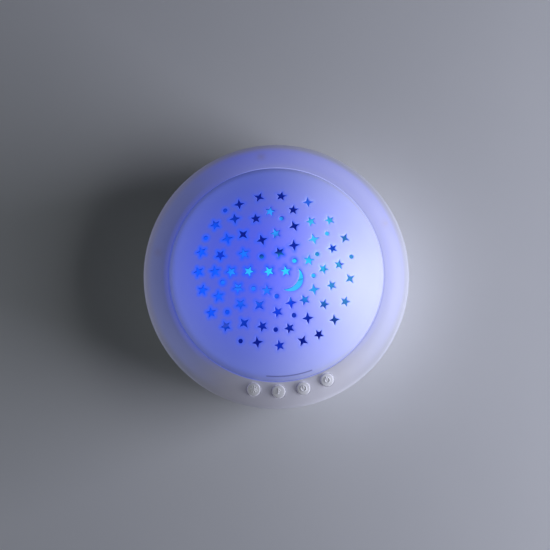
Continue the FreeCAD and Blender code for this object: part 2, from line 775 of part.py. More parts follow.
def make_speaker_magnet():
    low = floor_top + gasket_thickness + speaker_basket_depth
    return rod(0, speaker_y, low, low + speaker_magnet_height, speaker_back_radius - cone_sheet)


def make_speaker_screws():
    seat = floor_top + gasket_thickness + speaker_flange
    return group([screw(x, y, seat, -1, speaker_screw_head, small_head_height, main_screw_radius,
                        speaker_flange)
                  for x, y in speaker_screw_places()])


# Main board over the battery well
def make_main_board():
    half_length = main_board_length / 2
    half_width = main_board_width / 2
    board = plate(-half_length, half_length, well_centre_y - half_width, well_centre_y + half_width,
                  main_board_z, main_board_z + board_thickness, board_corner)
    return board.cut([rod(x, y, main_board_z, main_board_z + board_thickness,
                          main_screw_radius + pass_gap) for x, y in main_screw_places()])


def make_main_board_screws():
    top = main_board_z + board_thickness
    length = board_thickness + standoff_height
    return group([screw(x, y, top, -1, small_head_radius, small_head_height, main_screw_radius, length)
                  for x, y in main_screw_places()])


chip_length = 10.3
chip_width = 7.5
chip_height = 2.3
chip_pins = 8                  # each side
chip_pin_pitch = 1.27
chip_pin_size = 0.4
chip_pin_reach = 1.3           # out of the chip's body
chip_gap = 0.2                 # under the chip's body
capacitor_radius = 3.15
capacitor_height = 7.0
capacitor_pitch = 9.0
board_top_z = main_board_z + board_thickness


def make_control_chip():
    y = well_centre_y
    body = block(-chip_length / 2, chip_length / 2, y - chip_width / 2, y + chip_width / 2,
                 board_top_z + chip_gap, board_top_z + chip_height)
    half = chip_pin_size / 2
    reach = chip_width / 2 + chip_pin_reach
    pins = []
    for index in range(chip_pins):
        x = (index - (chip_pins - 1) / 2) * chip_pin_pitch
        pins.append(block(x - half, x + half, y - reach, y + reach, board_top_z,
                          board_top_z + chip_pin_size))
    return joined([body] + pins)


def make_capacitors():
    y = well_centre_y + main_board_width / 4
    return group([rod(x, y, board_top_z, board_top_z + capacitor_height, capacitor_radius)
                  for x in (-capacitor_pitch, 0, capacitor_pitch)])


# Where each lead plugs in along the main board's front edge, from left to right
speaker_plug_inset = 13.0      # from the board's ends
lamp_plug_inset = 9.0
plug_inset = 1.0               # from the board's edge
speaker_plug_x = speaker_plug_inset - main_board_length / 2
button_plug_x = 2.0            # right of the middle
lamp_plug_x = main_board_length / 2 - lamp_plug_inset
plug_front_y = well_centre_y - main_board_width / 2 + plug_inset
plug_z = board_top_z + connector_height / 2
battery_plug_x = main_board_length / 2 - plug_inset
battery_plug_y = main_screw_places()[0][1] + small_head_radius + pass_gap + connector_length / 2


def make_board_connectors():
    sockets = [block(x - connector_length / 2, x + connector_length / 2, plug_front_y,
                     plug_front_y + connector_depth, board_top_z, board_top_z + connector_height)
               for x in (speaker_plug_x, button_plug_x, lamp_plug_x)]
    sockets.append(block(battery_plug_x - connector_depth, battery_plug_x,
                         battery_plug_y - connector_length / 2, battery_plug_y + connector_length / 2,
                         board_top_z, board_top_z + connector_height))
    return group(sockets)


# Lamp board, its lamps and the reflecting tray over it
row_start = star_lamp_base + row_start_gap + lamp_size / 2
row_end = tray_radius - row_end_inset
row_side = [row_start + (row_end - row_start) * index / (row_lamps - 1) for index in range(row_lamps)]
dome_lamp_row = [-x for x in reversed(row_side)] + row_side
led_board_top = led_board_z + board_thickness
tray_floor_top = led_board_top + tray_wall
lamp_lead_reach = 17.75        # from the main board's sockets forward to the lamp board's
lamp_socket_y = plug_front_y - lamp_lead_reach


def make_led_board():
    board = rod(0, 0, led_board_z, led_board_top, led_board_radius)
    socket = block(lamp_plug_x - connector_length / 2, lamp_plug_x + connector_length / 2,
                   lamp_socket_y, lamp_socket_y + connector_depth,
                   led_board_z - low_socket_height, led_board_z)
    holes = [rod(*polar(led_post_circle, bearing), led_board_z, led_board_top, led_screw_radius + pass_gap)
             for bearing in led_post_bearings]
    return joined([board, socket]).cut(holes)


def make_light_tray():
    rim_top = led_board_top + tray_height
    inner_wall = tray_radius - tray_wall
    tray = spun([
        line((star_lamp_base + pass_gap, led_board_top), (tray_radius, led_board_top)),
        line((tray_radius, led_board_top), (tray_radius, rim_top)),
        line((tray_radius, rim_top), (inner_wall, rim_top)),
        line((inner_wall, rim_top), (inner_wall, tray_floor_top)),
        line((inner_wall, tray_floor_top), (star_lamp_base + pass_gap, tray_floor_top)),
        line((star_lamp_base + pass_gap, tray_floor_top), (star_lamp_base + pass_gap, led_board_top)),
    ])
    holes = [rod(x, 0, led_board_top, tray_floor_top, tray_lamp_hole) for x in dome_lamp_row]
    holes += [rod(*polar(led_post_circle, bearing), led_board_top, tray_floor_top,
                  led_screw_radius + pass_gap) for bearing in led_post_bearings]
    return tray.cut(holes)


def make_tray_screws():
    length = tray_wall + board_thickness + led_screw_length - base_wall
    return group([screw(*polar(led_post_circle, bearing), tray_floor_top, -1, led_screw_head,
                        small_head_height, led_screw_radius, length)
                  for bearing in led_post_bearings])


def lamp(x):
    half = lamp_size / 2
    return block(x - half, x + half, -half, half, led_board_top, led_board_top + lamp_height)


def make_dome_lamps():
    return group([lamp(x) for x in dome_lamp_row])


def make_ring_lamps():
    return group([turned(lamp(ring_lamp_circle), bearing) for bearing in ring_lamp_bearings])


def make_star_lamp():
    base = rod(0, 0, led_board_top, led_board_top + star_lamp_height, star_lamp_base)
    lens = Part.makeSphere(star_lamp_lens, Vector(0, 0, led_board_top + star_lamp_height))
    lens = lens.common(rod(0, 0, led_board_top, led_board_top + 2 * star_lamp_base, star_lamp_lens))
    return joined([base, lens])


# Buttons: each cap slides straight down in its sleeve and carries a plunger into its switch
def make_button(bearing):
    x, y = polar(button_circle, bearing)
    slope = math.asin((button_circle - crown_centre[0]) / shoulder_crown_radius)
    depth = button_crown_radius - button_proud
    centre_x, centre_y = polar(button_circle - depth * math.sin(slope), bearing)
    centre_z = crown_z(button_circle, 0) - depth * math.cos(slope)
    crown = Part.makeSphere(button_crown_radius, Vector(centre_x, centre_y, centre_z))
    cap = rod(x, y, flange_bottom, lip_z + button_proud, button_radius).common(crown)
    flange = rod(x, y, flange_bottom, flange_top, flange_radius)
    key = block(button_circle, button_circle + flange_radius, -key_width / 2, key_width / 2,
                flange_bottom, flange_top + key_height)
    key = turned(key, bearing).common(rod(x, y, flange_bottom, flange_top + key_height, flange_radius))
    return joined([cap, flange, key])


def make_plunger(bearing):
    bottom = button_board_top + switch_floor + button_travel + plunger_gap
    return rod(*polar(button_circle, bearing), bottom, flange_bottom, plunger_radius)


def make_switch_bodies():
    bodies = []
    for bearing in button_bearings:
        half = switch_size / 2
        body = block(button_circle - half, button_circle + half, -half, half, button_board_top, switch_top)
        bore = rod(button_circle, 0, button_board_top + switch_floor, switch_top,
                   plunger_radius + plunger_gap)
        bodies.append(turned(body.cut(bore), bearing))
    return group(bodies)


def make_button_board():
    ring = rod(0, 0, button_board_bottom, button_board_top, button_board_outer)
    ring = ring.cut(rod(0, 0, button_board_bottom, button_board_top, button_board_inner))
    span = button_post_bearing + button_board_end
    ends = [polar(2 * button_board_outer, 270 + side * span) for side in (-1, 1)]
    corners = [Vector(0, 0, button_board_bottom)]
    corners += [Vector(x, y, button_board_bottom) for x, y in ends]
    wedge = Part.Face(Part.makePolygon(corners + corners[:1])).extrude(Vector(0, 0, board_thickness))
    board = ring.common(wedge)
    socket_back = -button_board_inner - socket_inset
    socket = block(-connector_length / 2, connector_length / 2, socket_back - connector_depth, socket_back,
                   button_board_bottom - low_socket_height, button_board_bottom)
    holes = [rod(*polar(button_circle, 270 + side * button_post_bearing), button_board_bottom,
                 button_board_top, main_screw_radius + pass_gap) for side in (-1, 1)]
    return joined([board, socket]).cut(holes)


def make_button_board_screws():
    return group([screw(*polar(button_circle, 270 + side * button_post_bearing), button_board_bottom, 1,
                        small_head_radius, small_head_height, main_screw_radius, button_screw_length)
                  for side in (-1, 1)])


# Leads between the boards: straight runs joined by tangent arcs
lead_bend_share = 0.45         # of the shorter run beside a bend
lead_bend_reach = 9.0          # from the plugs to the last bend
speaker_lead_rise = 8.0
speaker_lead_side = 3.0
speaker_lead_drop = 1.5
speaker_lead_straight = 5.0
lamp_lead_straight = 4.0
button_lead_straight = 8.0
button_lead_side = 1.5
button_lead_arch = 1.0


def lead(name, points, radius=wire_radius):
    """A round lead through a list of points."""
    corners = [Vector(*point) for point in points]
    edges = []
    start = corners[0]
    for before, corner, after in zip(corners, corners[1:], corners[2:]):
        back = (before - corner).normalize()
        ahead = (after - corner).normalize()
        turn = math.pi - back.getAngle(ahead)
        run = min((before - corner).Length, (after - corner).Length)
        reach = lead_bend_share * run
        bend = reach / math.tan(turn / 2)
        depth = bend / math.cos(turn / 2) - bend
        entry = corner + back * reach
        leave = corner + ahead * reach
        edges.append(Part.makeLine(start, entry))
        edges.append(Part.Arc(entry, corner + (back + ahead).normalize() * depth, leave).toShape())
        start = leave
        print(name, "bend radius", round(bend, 2))
    edges.append(Part.makeLine(start, corners[-1]))
    path = Part.Wire(edges)
    section = Part.Wire(Part.makeCircle(radius, corners[0], corners[1] - corners[0]))
    return path.makePipeShell([section], True, False)


def make_battery_lead():
    x = well_half_length - contact_thickness / 2
    tail_y = cell_places()[0][0] + (contact_width - contact_tail_width) / 2
    return lead("battery_lead", [
        (x, tail_y, roof_top + contact_tail_height),
        (x, tail_y, plug_z),
        (battery_plug_x, battery_plug_y, plug_z),
    ], wire_radius / 2)


def make_speaker_lead():
    top = floor_top + gasket_thickness + speaker_basket_depth - speaker_sheet
    y = speaker_y + (speaker_radius - speaker_rim + speaker_back_radius) / 2 + speaker_sheet / 2
    return lead("speaker_lead", [
        (0, y, top),
        (0, y, top + speaker_lead_rise),
        (speaker_plug_x + speaker_lead_side, plug_front_y - lead_bend_reach, plug_z - speaker_lead_drop),
        (speaker_plug_x, plug_front_y - speaker_lead_straight, plug_z),
        (speaker_plug_x, plug_front_y, plug_z),
    ])


def make_lamp_lead():
    socket_z = led_board_z - low_socket_height / 2
    socket_y = lamp_socket_y + connector_depth
    return lead("lamp_lead", [
        (lamp_plug_x, socket_y, socket_z),
        (lamp_plug_x, socket_y + lamp_lead_straight, socket_z),
        (lamp_plug_x, plug_front_y - lamp_lead_straight, plug_z),
        (lamp_plug_x, plug_front_y, plug_z),
    ])


def make_button_lead():
    socket_z = button_board_bottom - low_socket_height / 2
    near = -button_board_inner + button_lead_straight
    far = plug_front_y - lead_bend_reach
    return lead("button_lead", [
        (0, -button_board_inner - socket_inset, socket_z),
        (0, near, socket_z),
        (-button_lead_side, (near + far) / 2, plug_z + button_lead_arch),
        (button_plug_x, far, plug_z),
        (button_plug_x, plug_front_y, plug_z),
    ])


def build():
    """Every sub-part, by name."""
    nodes = {
        "base_shell": make_base_shell(),
        "shoulder_ring": make_shoulder_ring(),
        "star_dome": make_star_dome(),
        "housing_screws": make_housing_screws(),
        "dome_screws": make_dome_screws(),
        "rubber_feet": make_rubber_feet(),
        "battery_door": make_battery_door(),
        "battery_door_screw": make_battery_door_screw(),
        "spring_contacts": make_contacts(True),
        "plain_contacts": make_contacts(False),
        "speaker_gasket": make_speaker_gasket(),
        "speaker_frame": make_speaker_frame(),
        "speaker_cone": make_speaker_cone(),
        "speaker_magnet": make_speaker_magnet(),
        "speaker_screws": make_speaker_screws(),
        "main_board": make_main_board(),
        "main_board_screws": make_main_board_screws(),
        "control_chip": make_control_chip(),
        "capacitors": make_capacitors(),
        "board_connectors": make_board_connectors(),
        "led_board": make_led_board(),
        "light_tray": make_light_tray(),
        "tray_screws": make_tray_screws(),
        "star_lamp": make_star_lamp(),
        "dome_lamps": make_dome_lamps(),
        "ring_lamps": make_ring_lamps(),
        "button_board": make_button_board(),
        "button_board_screws": make_button_board_screws(),
        "switch_bodies": make_switch_bodies(),
        "battery_lead": make_battery_lead(),
        "speaker_lead": make_speaker_lead(),
        "lamp_lead": make_lamp_lead(),
        "button_lead": make_button_lead(),
    }
    for index, (y, side) in enumerate(cell_places()):
        nodes["battery_cell_%d" % (index + 1)] = make_battery_cell(y, side)
    for name, bearing in zip(button_names, button_bearings):
        nodes["button_" + name] = make_button(bearing)
        nodes["plunger_" + name] = make_plunger(bearing)
    return nodes


os.makedirs("parts", exist_ok=True)
for node, shape in build().items():
    shape.exportStep("parts/%s.step" % node)
    print(node, len(shape.Solids), "solids", round(shape.Volume, 1), "mm3", shape.isValid())
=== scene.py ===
# %% [markdown]
# # A star night light, seen from above
#
# A star night light is a bowl on four rubber feet, a glowing shoulder ring with four push buttons, and a
# dome of milky plastic that is cut through by small stars, dots and one moon. Lamps inside shine through
# the holes and make the dome and the ring glow blue.
#
# The solid model gives every piece its place and size. This lesson keeps the pieces whose shape is right
# and only finishes them, and makes the dome, the ring and the button caps again, because their softened
# edges and raised signs are what the eye sees first. All lengths here are in millimetres until a mesh is
# made, because the drawing of the real part is in millimetres too.

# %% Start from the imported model
import math
import bpy
import numpy as np
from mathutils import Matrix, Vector
from mathutils.geometry import delaunay_2d_cdt


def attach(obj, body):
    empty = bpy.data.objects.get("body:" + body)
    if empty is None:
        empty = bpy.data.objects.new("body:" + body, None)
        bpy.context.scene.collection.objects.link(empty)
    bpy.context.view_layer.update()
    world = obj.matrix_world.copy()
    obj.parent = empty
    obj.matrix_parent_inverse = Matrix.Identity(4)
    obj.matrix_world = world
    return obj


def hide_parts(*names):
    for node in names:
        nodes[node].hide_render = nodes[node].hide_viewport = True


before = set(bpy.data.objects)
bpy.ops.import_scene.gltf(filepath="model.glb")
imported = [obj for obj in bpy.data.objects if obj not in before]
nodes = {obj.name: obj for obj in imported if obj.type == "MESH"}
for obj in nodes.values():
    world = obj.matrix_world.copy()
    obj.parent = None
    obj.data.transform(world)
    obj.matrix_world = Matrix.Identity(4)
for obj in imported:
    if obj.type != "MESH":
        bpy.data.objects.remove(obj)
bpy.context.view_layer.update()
mm = 0.001

# %% [markdown]
# ## The camera
#
# The picture looks down on the light from nearly straight above: the camera stands a little to the front,
# 84 degrees up, and the light is turned a few degrees to the left in the frame. The camera could be placed
# by eye. Here it is worked out from angles, a distance and the size of one pixel, so that each number can
# be measured in the picture and changed on its own.

# %% Place the camera
camera_bearing = math.radians(-97.3)
camera_height = math.radians(84.2)
camera_distance = 800 * mm
pixel = 0.4902 * mm
frame_side = 550
widest_height = 37.5 * mm
aim_left, aim_up = 1.3 * pixel, 1.0 * pixel

towards = Vector((math.cos(camera_bearing) * math.cos(camera_height),
                  math.sin(camera_bearing) * math.cos(camera_height), math.sin(camera_height)))
rightwards = Vector((-math.sin(camera_bearing), math.cos(camera_bearing), 0))
upwards = towards.cross(rightwards)
aim = Vector((0, 0, widest_height)) - aim_left * rightwards + aim_up * upwards

camera_data = bpy.data.cameras.new("camera")
camera_data.angle = 2 * math.atan(frame_side * pixel / 2 / camera_distance)
camera = bpy.data.objects.new("camera", camera_data)
camera.location = aim + camera_distance * towards
camera.rotation_euler = towards.to_track_quat("Z", "Y").to_euler()
bpy.context.scene.collection.objects.link(camera)
bpy.context.scene.camera = camera
print("the camera sees", round(frame_side * pixel / mm, 1), "mm across at the light's widest height")

# %% [markdown]
# ## Light
#
# A big soft lamp stands low on the right, so the right side of the dome is bright and a wide soft shadow
# falls to the left. A weak one higher up shortens that shadow's core, and a weak one low on the left keeps
# the shaded side from going black. The rest of the room gives only a faint fill. A sun lamp would give a
# hard shadow edge, so area lamps are used: the larger they are, the softer their shadows.

# %% Add the lamps and the room's fill
def aimed(thing, place, target):
    """Puts a lamp at a place and turns its face to a target."""
    thing.location = place
    thing.rotation_euler = (Vector(place) - Vector(target)).to_track_quat("Z", "Y").to_euler()


# Each row: name, bearing and height in degrees, distance, width, depth, energy, colour.
lamps = (
    ("soft_lamp", -13, 11.5, 820 * mm, 700 * mm, 280 * mm, 6.2, (1.0, 1.02, 1.25)),
    ("high_lamp", -13, 42, 700 * mm, 450 * mm, 300 * mm, 0.80, (1.0, 1.05, 1.12)),
    ("left_lamp", 185, 8, 450 * mm, 400 * mm, 110 * mm, 0.19, (1.0, 1.06, 1.06)),
)
lamp_target = (0, 0, 40 * mm)
for name, bearing, height, distance, width, depth, energy, colour in lamps:
    lamp_data = bpy.data.lights.new(name, "AREA")
    lamp_data.shape = "RECTANGLE"
    lamp_data.size = width
    lamp_data.size_y = depth
    lamp_data.energy = energy
    lamp_data.color = colour
    lamp = bpy.data.objects.new(name, lamp_data)
    bpy.context.scene.collection.objects.link(lamp)
    bearing, height = math.radians(bearing), math.radians(height)
    aimed(lamp, (distance * math.cos(bearing) * math.cos(height),
                 distance * math.sin(bearing) * math.cos(height),
                 distance * math.sin(height)), lamp_target)

room = bpy.data.worlds.new("room")
room.use_nodes = True
bpy.context.scene.world = room
fill = room.node_tree.nodes["Background"]
fill_colour, fill_strength = (0.88, 0.98, 1.12), 0.019
fill.inputs["Color"].default_value = (*fill_colour, 1.0)
fill.inputs["Strength"].default_value = fill_strength
bpy.context.scene.view_settings.view_transform = "Standard"
print(len(lamps), "soft lamps and a faint fill")

# %% [markdown]
# ## Short ways to build a finish
#
# A finish is a node tree. Writing each node and link by hand makes long cells that hide the idea, so one
# small class holds the tree and gives short names to the few nodes that every finish here needs. All
# patterns read the mesh's own place in millimetres, so they stay on the piece when it moves, and a size in
# a finish can be compared with a size in the drawing.

# %% The finish builder
class Finish:
    """A material being built, with the mesh's own place in millimetres and short ways to add nodes."""

    def __init__(self, name, colour, roughness, metallic=0.0):
        self.material = bpy.data.materials.new(name)
        self.material.use_nodes = True
        self.tree = self.material.node_tree
        self.shader = self.tree.nodes["Principled BSDF"]
        self.shader.inputs["Base Color"].default_value = (*colour, 1.0)
        self.shader.inputs["Roughness"].default_value = roughness
        self.shader.inputs["Metallic"].default_value = metallic
        coordinates = self.tree.nodes.new("ShaderNodeTexCoord")
        self.place = self.add("ShaderNodeVectorMath", "SCALE", coordinates.outputs["Object"], Scale=1 / mm)

    def join(self, socket, value):
        """Links a socket to another node, or sets it to a plain number or colour."""
        if isinstance(value, bpy.types.NodeSocket):
            self.tree.links.new(value, socket)
        elif isinstance(value, tuple) and len(value) == 3 and socket.type == "RGBA":
            socket.default_value = (*value, 1.0)
        else:
            socket.default_value = value

    def add(self, kind, operation, *values, **named):
        """Adds a node, fills its inputs in order and by name, and returns its first output in use."""
        node = self.tree.nodes.new(kind)
        if operation:
            node.operation = operation
        for number, value in enumerate(values):
            self.join(node.inputs[number], value)
        for name, value in named.items():
            self.join(node.inputs[name], value)
        return next(output for output in node.outputs if output.enabled)

    def calc(self, operation, *values):
        """One step of arithmetic."""
        return self.add("ShaderNodeMath", operation, *values)

    def line(self, value, start, slope):
        """A straight line: start plus slope times the value."""
        return self.calc("ADD", self.calc("MULTIPLY", value, slope), start)

    def apart(self, value, middle):
        """How far a value is from a middle, on either side."""
        return self.calc("ABSOLUTE", self.calc("SUBTRACT", value, middle))

    def noise(self, size, detail=2.0):
        """Soft random values round 0.5 whose blots are about size millimetres wide."""
        return self.add("ShaderNodeTexNoise", None, Vector=self.place, Scale=1 / size, Detail=detail)

    def fade(self, value, start, end):
        """Goes smoothly from 0 where the value is start to 1 where it is end."""
        node = self.tree.nodes.new("ShaderNodeMapRange")
        node.interpolation_type = "SMOOTHSTEP"
        self.join(node.inputs["Value"], value)
        node.inputs["From Min"].default_value = start
        node.inputs["From Max"].default_value = end
        return node.outputs["Result"]

    def mix(self, share, first, second):
        """A colour between two colours."""
        node = self.tree.nodes.new("ShaderNodeMix")
        node.data_type = "RGBA"
        self.join(node.inputs["Factor"], share)
        # The node has sockets for every kind of value: its colours are inputs 6 and 7, and output 2.
        self.join(node.inputs[6], first)
        self.join(node.inputs[7], second)
        return node.outputs[2]

    def patch(self, centre, half_x, half_y, soft=1.0):
        """1 in the middle of an ellipse in plan, falling smoothly to 0 over a soft share of the way out."""
        moved = self.add("ShaderNodeVectorMath", "SUBTRACT", self.place, (centre[0], centre[1], 0.0))
        scaled = self.add("ShaderNodeVectorMath", "MULTIPLY", moved, (1 / half_x, 1 / half_y, 0.0))
        node = self.tree.nodes.new("ShaderNodeVectorMath")
        node.operation = "LENGTH"
        self.join(node.inputs[0], scaled)
        return self.fade(node.outputs["Value"], 1.0, 1.0 - soft)

    def plan(self):
        """The place's x, y and distance from the upright axis."""
        split = self.tree.nodes.new("ShaderNodeSeparateXYZ")
        self.join(split.inputs[0], self.place)
        x, y = split.outputs["X"], split.outputs["Y"]
        radius = self.calc("SQRT", self.calc("ADD", self.calc("MULTIPLY", x, x), self.calc("MULTIPLY", y, y)))
        return x, y, radius

    def front_bearing(self, x, y):
        """Angle round the upright axis in radians, 0 at the front and more to the right."""
        return self.calc("ARCTAN2", x, self.calc("MULTIPLY", y, -1.0))

    def grain(self, size, depth, roughness, spread):
        """Fine bumps of a size and depth in millimetres, and a roughness that varies in broad blots.

        A blot is forty times as wide as a bump. The blots are returned, because the colour follows them.
        """
        fine = self.noise(size, 3.0)
        self.join(self.shader.inputs["Normal"],
                  self.add("ShaderNodeBump", None, Strength=1.0, Distance=depth * mm, Height=fine))
        broad = self.noise(size * 40)
        shine = self.calc("ADD", self.calc("MULTIPLY", broad, spread), roughness - spread / 2)
        self.join(self.shader.inputs["Roughness"], shine)
        return broad

    def paint(self, colour):
        """Gives the surface its colour."""
        self.join(self.shader.inputs["Base Color"], colour)

    def glow(self, colour, strength=1.0):
        """Gives the surface its own light."""
        self.join(self.shader.inputs["Emission Color"], colour)
        self.shader.inputs["Emission Strength"].default_value = strength


print("finishes read places in millimetres on each mesh")

# %% [markdown]
# ## The floor
#
# The light stands on a plain pale sheet. It could curve up behind the object, as in a studio. The camera
# looks down, so a flat one is enough, and a faint mottle keeps it from looking like a flat fill.

# %% The floor
floor_finish = Finish("floor_paper", (0.8, 0.8, 0.8), 0.6)
mottle = floor_finish.noise(60, 3.0)
floor_finish.paint(floor_finish.mix(mottle, (0.775, 0.785, 0.80), (0.815, 0.82, 0.83)))
floor_mesh = bpy.data.meshes.new("floor")
reach = 3.0
floor_mesh.from_pydata([(-reach, -reach, 0), (reach, -reach, 0), (reach, reach, 0), (-reach, reach, 0)],
                       [], [(0, 1, 2, 3)])
floor_mesh.materials.append(floor_finish.material)
floor = bpy.data.objects.new("floor", floor_mesh)
bpy.context.scene.collection.objects.link(floor)
print("the floor is", 2 * reach, "m wide")

# %% [markdown]
# ## Making meshes from arrays
#
# Every new piece is put together from blocks: a block is an array of points and an array of faces. Blocks
# that meet share points, so they are welded by rounding each point to a hundredth of a micrometre and
# keeping one of each. That closes seams and poles without a modifier.

# %% Weld blocks into one closed mesh
def make_piece(name, blocks, sharp_degrees, values=None):
    """Joins blocks of points and faces, in millimetres, into one mesh with its coinciding points welded.

    values gives one number per point of each block, kept on the mesh under the name from_hole.
    """
    points = np.vstack([block[0] for block in blocks])
    starts = np.cumsum([0] + [len(block[0]) for block in blocks[:-1]])
    _, first, merged = np.unique(np.round(points, 5), axis=0, return_index=True, return_inverse=True)
    merged = merged.ravel()
    faces = []
    for (_, block_faces), start in zip(blocks, starts):
        for part in block_faces:
            part = merged[np.asarray(part) + start]
            different = [len(set(face)) > 2 for face in part.tolist()]
            faces += [tuple(dict.fromkeys(face)) for face in part[different].tolist()]
    mesh = bpy.data.meshes.new(name)
    mesh.from_pydata((points[first] * mm).tolist(), [], faces)
    mesh.shade_smooth()
    mesh.set_sharp_from_angle(angle=math.radians(sharp_degrees))
    if values is not None:
        kept = mesh.attributes.new("from_hole", "FLOAT", "POINT")
        kept.data.foreach_set("value", np.concatenate(values)[first].astype(np.float32))
    piece = bpy.data.objects.new(name, mesh)
    bpy.context.scene.collection.objects.link(piece)
    return piece


def circle(radius, count):
    """Evenly spaced points on a circle: x = r cos a, y = r sin a."""
    turn = np.arange(count) * 2 * np.pi / count
    return radius * np.stack([np.cos(turn), np.sin(turn)], 1)


def turned(profile, steps):
    """A side view of (radius, height) points turned round Z: x = r cos a, y = r sin a, z = height.

    The side view runs with the solid on its right, so the faces look outwards.
    """
    profile = np.asarray(profile, float)
    around = circle(1.0, steps)
    plan = around[:, None, :] * profile[None, :, :1]
    height = np.broadcast_to(profile[None, :, 1:], (steps, len(profile), 1))
    points = np.concatenate([plan, height], 2).reshape(-1, 3)
    row, column = np.meshgrid(np.arange(steps), np.arange(len(profile) - 1), indexing="ij")
    here = (row * len(profile) + column).ravel()
    there = ((row + 1) % steps * len(profile) + column).ravel()
    return points, [np.stack([here, here + 1, there + 1, there], 1)]


def on_arc(centre, radius, start, end, count):
    """Points of a side view's arc: angles in degrees, even steps from start to end."""
    turn = np.radians(np.linspace(start, end, count))
    return np.stack([centre[0] + radius * np.cos(turn), centre[1] + radius * np.sin(turn)], 1)


print("a turned test strip has", len(turned([(1, 0), (1, 1)], 8)[0]), "points")

# %% [markdown]
# ## A sheet with holes
#
# The dome and the ring are both shells with holes. Cutting them with a boolean would leave long thin faces
# that shade badly on a smooth curved wall, and no way to soften the cut edge. So a flat sheet is
# triangulated around the outlines first, with rings of points along each hole, and is lifted to the curved
# surface afterwards. Each point knows its distance to the nearest hole, which rounds the edge and, later,
# lights it.

# %% Outlines and distances in plan
def grown(outline, amount):
    """The outline moved outwards along its normals, which are square to the line between two neighbours."""
    along = np.roll(outline, -1, 0) - np.roll(outline, 1, 0)
    normal = np.stack([along[:, 1], -along[:, 0]], 1) / np.linalg.norm(along, axis=1)[:, None]
    return outline + amount * normal


def distance_to(points, outline):
    """Distance from each point to an outline: to the nearest place on every straight run, and the least."""
    run = np.roll(outline, -1, 0) - outline
    offset = points[:, None] - outline[None]
    share = np.clip((offset * run).sum(2) / (run ** 2).sum(1), 0, 1)
    return np.linalg.norm(offset - share[..., None] * run, axis=2).min(1)


def within(points, outline):
    """Whether a point is inside: a line from it to the right crosses the outline an odd number of times."""
    x, y = points[:, :1], points[:, 1:]
    (x1, y1), (x2, y2) = outline.T, np.roll(outline, -1, 0).T
    crossing = (y1 > y) != (y2 > y)
    level = np.where(y2 == y1, 1.0, y2 - y1)
    return ((crossing & (x < x1 + (y - y1) * (x2 - x1) / level)).sum(1) % 2) == 1


def distance_to_holes(points, holes, far):
    """Distance to the nearest hole, 0 inside it, or far where every hole is further away."""
    nearest = np.full(len(points), far)
    for hole in holes:
        middle = hole.mean(0)
        size = np.linalg.norm(hole - middle, axis=1).max()
        close = np.linalg.norm(points - middle, axis=1) < size + far
        if close.any():
            apart = np.where(within(points[close], hole), 0.0, distance_to(points[close], hole))
            nearest[close] = np.minimum(nearest[close], apart)
    return nearest


gap = distance_to(np.array([[2.0, 0.0]]), circle(1.0, 360))[0]
print("a point 2 mm from the middle of a circle of radius 1 mm is", round(float(gap), 2), "mm from it")

# %% Triangulate a sheet between its rims and its holes
edge_radius = 0.25
# Three rings follow a hole, at 0, 45 and 90 degrees of its rounded edge. 0.293 is 1 - cos 45 degrees.
edge_rings = (0.0, edge_radius * 0.293, edge_radius)
halo_reach = 3.0


def sheet_with_holes(outer_radius, inner_radius, rim_count, holes, coarse, fine):
    """Triangles of a flat ring or disc with holes.

    Points: three rings along each hole, the rims, and a triangular grid, finer near the holes. Returns the
    points, triangles, each point's distance to a hole, and where each hole's own ring starts and ends.
    """
    loops = [grown(hole, offset) for hole in holes for offset in edge_rings]
    loops.append(circle(outer_radius, rim_count))
    if inner_radius:
        loops.append(circle(inner_radius, rim_count))
    grid = []
    inner_limit = inner_radius + 0.5 * coarse * bool(inner_radius)
    for step, low, high in ((fine, edge_radius + 0.6 * fine, halo_reach), (coarse, halo_reach, math.inf)):
        across = np.arange(-outer_radius, outer_radius, step)
        down = np.arange(-outer_radius, outer_radius, step * math.sqrt(0.75))
        x, y = np.meshgrid(across, down)
        x[1::2] += step / 2
        free = np.stack([x.ravel(), y.ravel()], 1)
        radius = np.linalg.norm(free, axis=1)
        free = free[(radius < outer_radius - 0.5 * coarse) & (radius > inner_limit)]
        nearest = distance_to_holes(free, holes, halo_reach + 0.1)
        grid.append(free[(nearest > low) & (nearest <= high)])
    points = np.vstack(loops + grid)
    edges, spans, start = [], [], 0
    for loop in loops:
        number = np.arange(len(loop))
        edges.append(np.stack([start + number, start + (number + 1) % len(loop)], 1))
        spans.append((start, start + len(loop)))
        start += len(loop)
    # 0 asks for all triangles inside the hull, and 1e-7 is how near two points count as one.
    found = delaunay_2d_cdt([Vector(point) for point in points.tolist()],
                            np.vstack(edges).tolist(), [], 0, 1e-7)
    if len(found[0]) != len(points):
        raise ValueError("outlines cross, so the sheet gained points")
    triangles = np.array(found[2])
    corner = points[triangles]
    side_a, side_b = corner[:, 1] - corner[:, 0], corner[:, 2] - corner[:, 0]
    wrong = side_a[:, 0] * side_b[:, 1] - side_a[:, 1] * side_b[:, 0] < 0
    triangles[wrong] = triangles[wrong][:, ::-1]
    middle = points[triangles].mean(1)
    keep = (np.linalg.norm(middle, axis=1) > inner_radius) if inner_radius else np.ones(len(triangles), bool)
    owner = np.full(len(points), -1)
    hole_spans = spans[:len(edge_rings) * len(holes):len(edge_rings)]
    for index, (low, high) in enumerate(hole_spans):
        owner[low:high] = index
    for index, hole in enumerate(holes):
        mine = np.flatnonzero((owner[triangles] == index).all(1))
        keep[mine[within(middle[mine], hole)]] = False
    nearest = distance_to_holes(points, holes, halo_reach)
    for index, (low, high) in enumerate(hole_spans):
        nearest[low:high] = 0.0
    return points, triangles[keep], nearest, hole_spans


def edge_drop(distance):
    """How far the surface sinks at a hole's softened edge: a quarter circle of the edge's radius."""
    inward = np.clip(edge_radius - distance, 0, edge_radius)
    return edge_radius - np.sqrt(edge_radius ** 2 - inward ** 2)


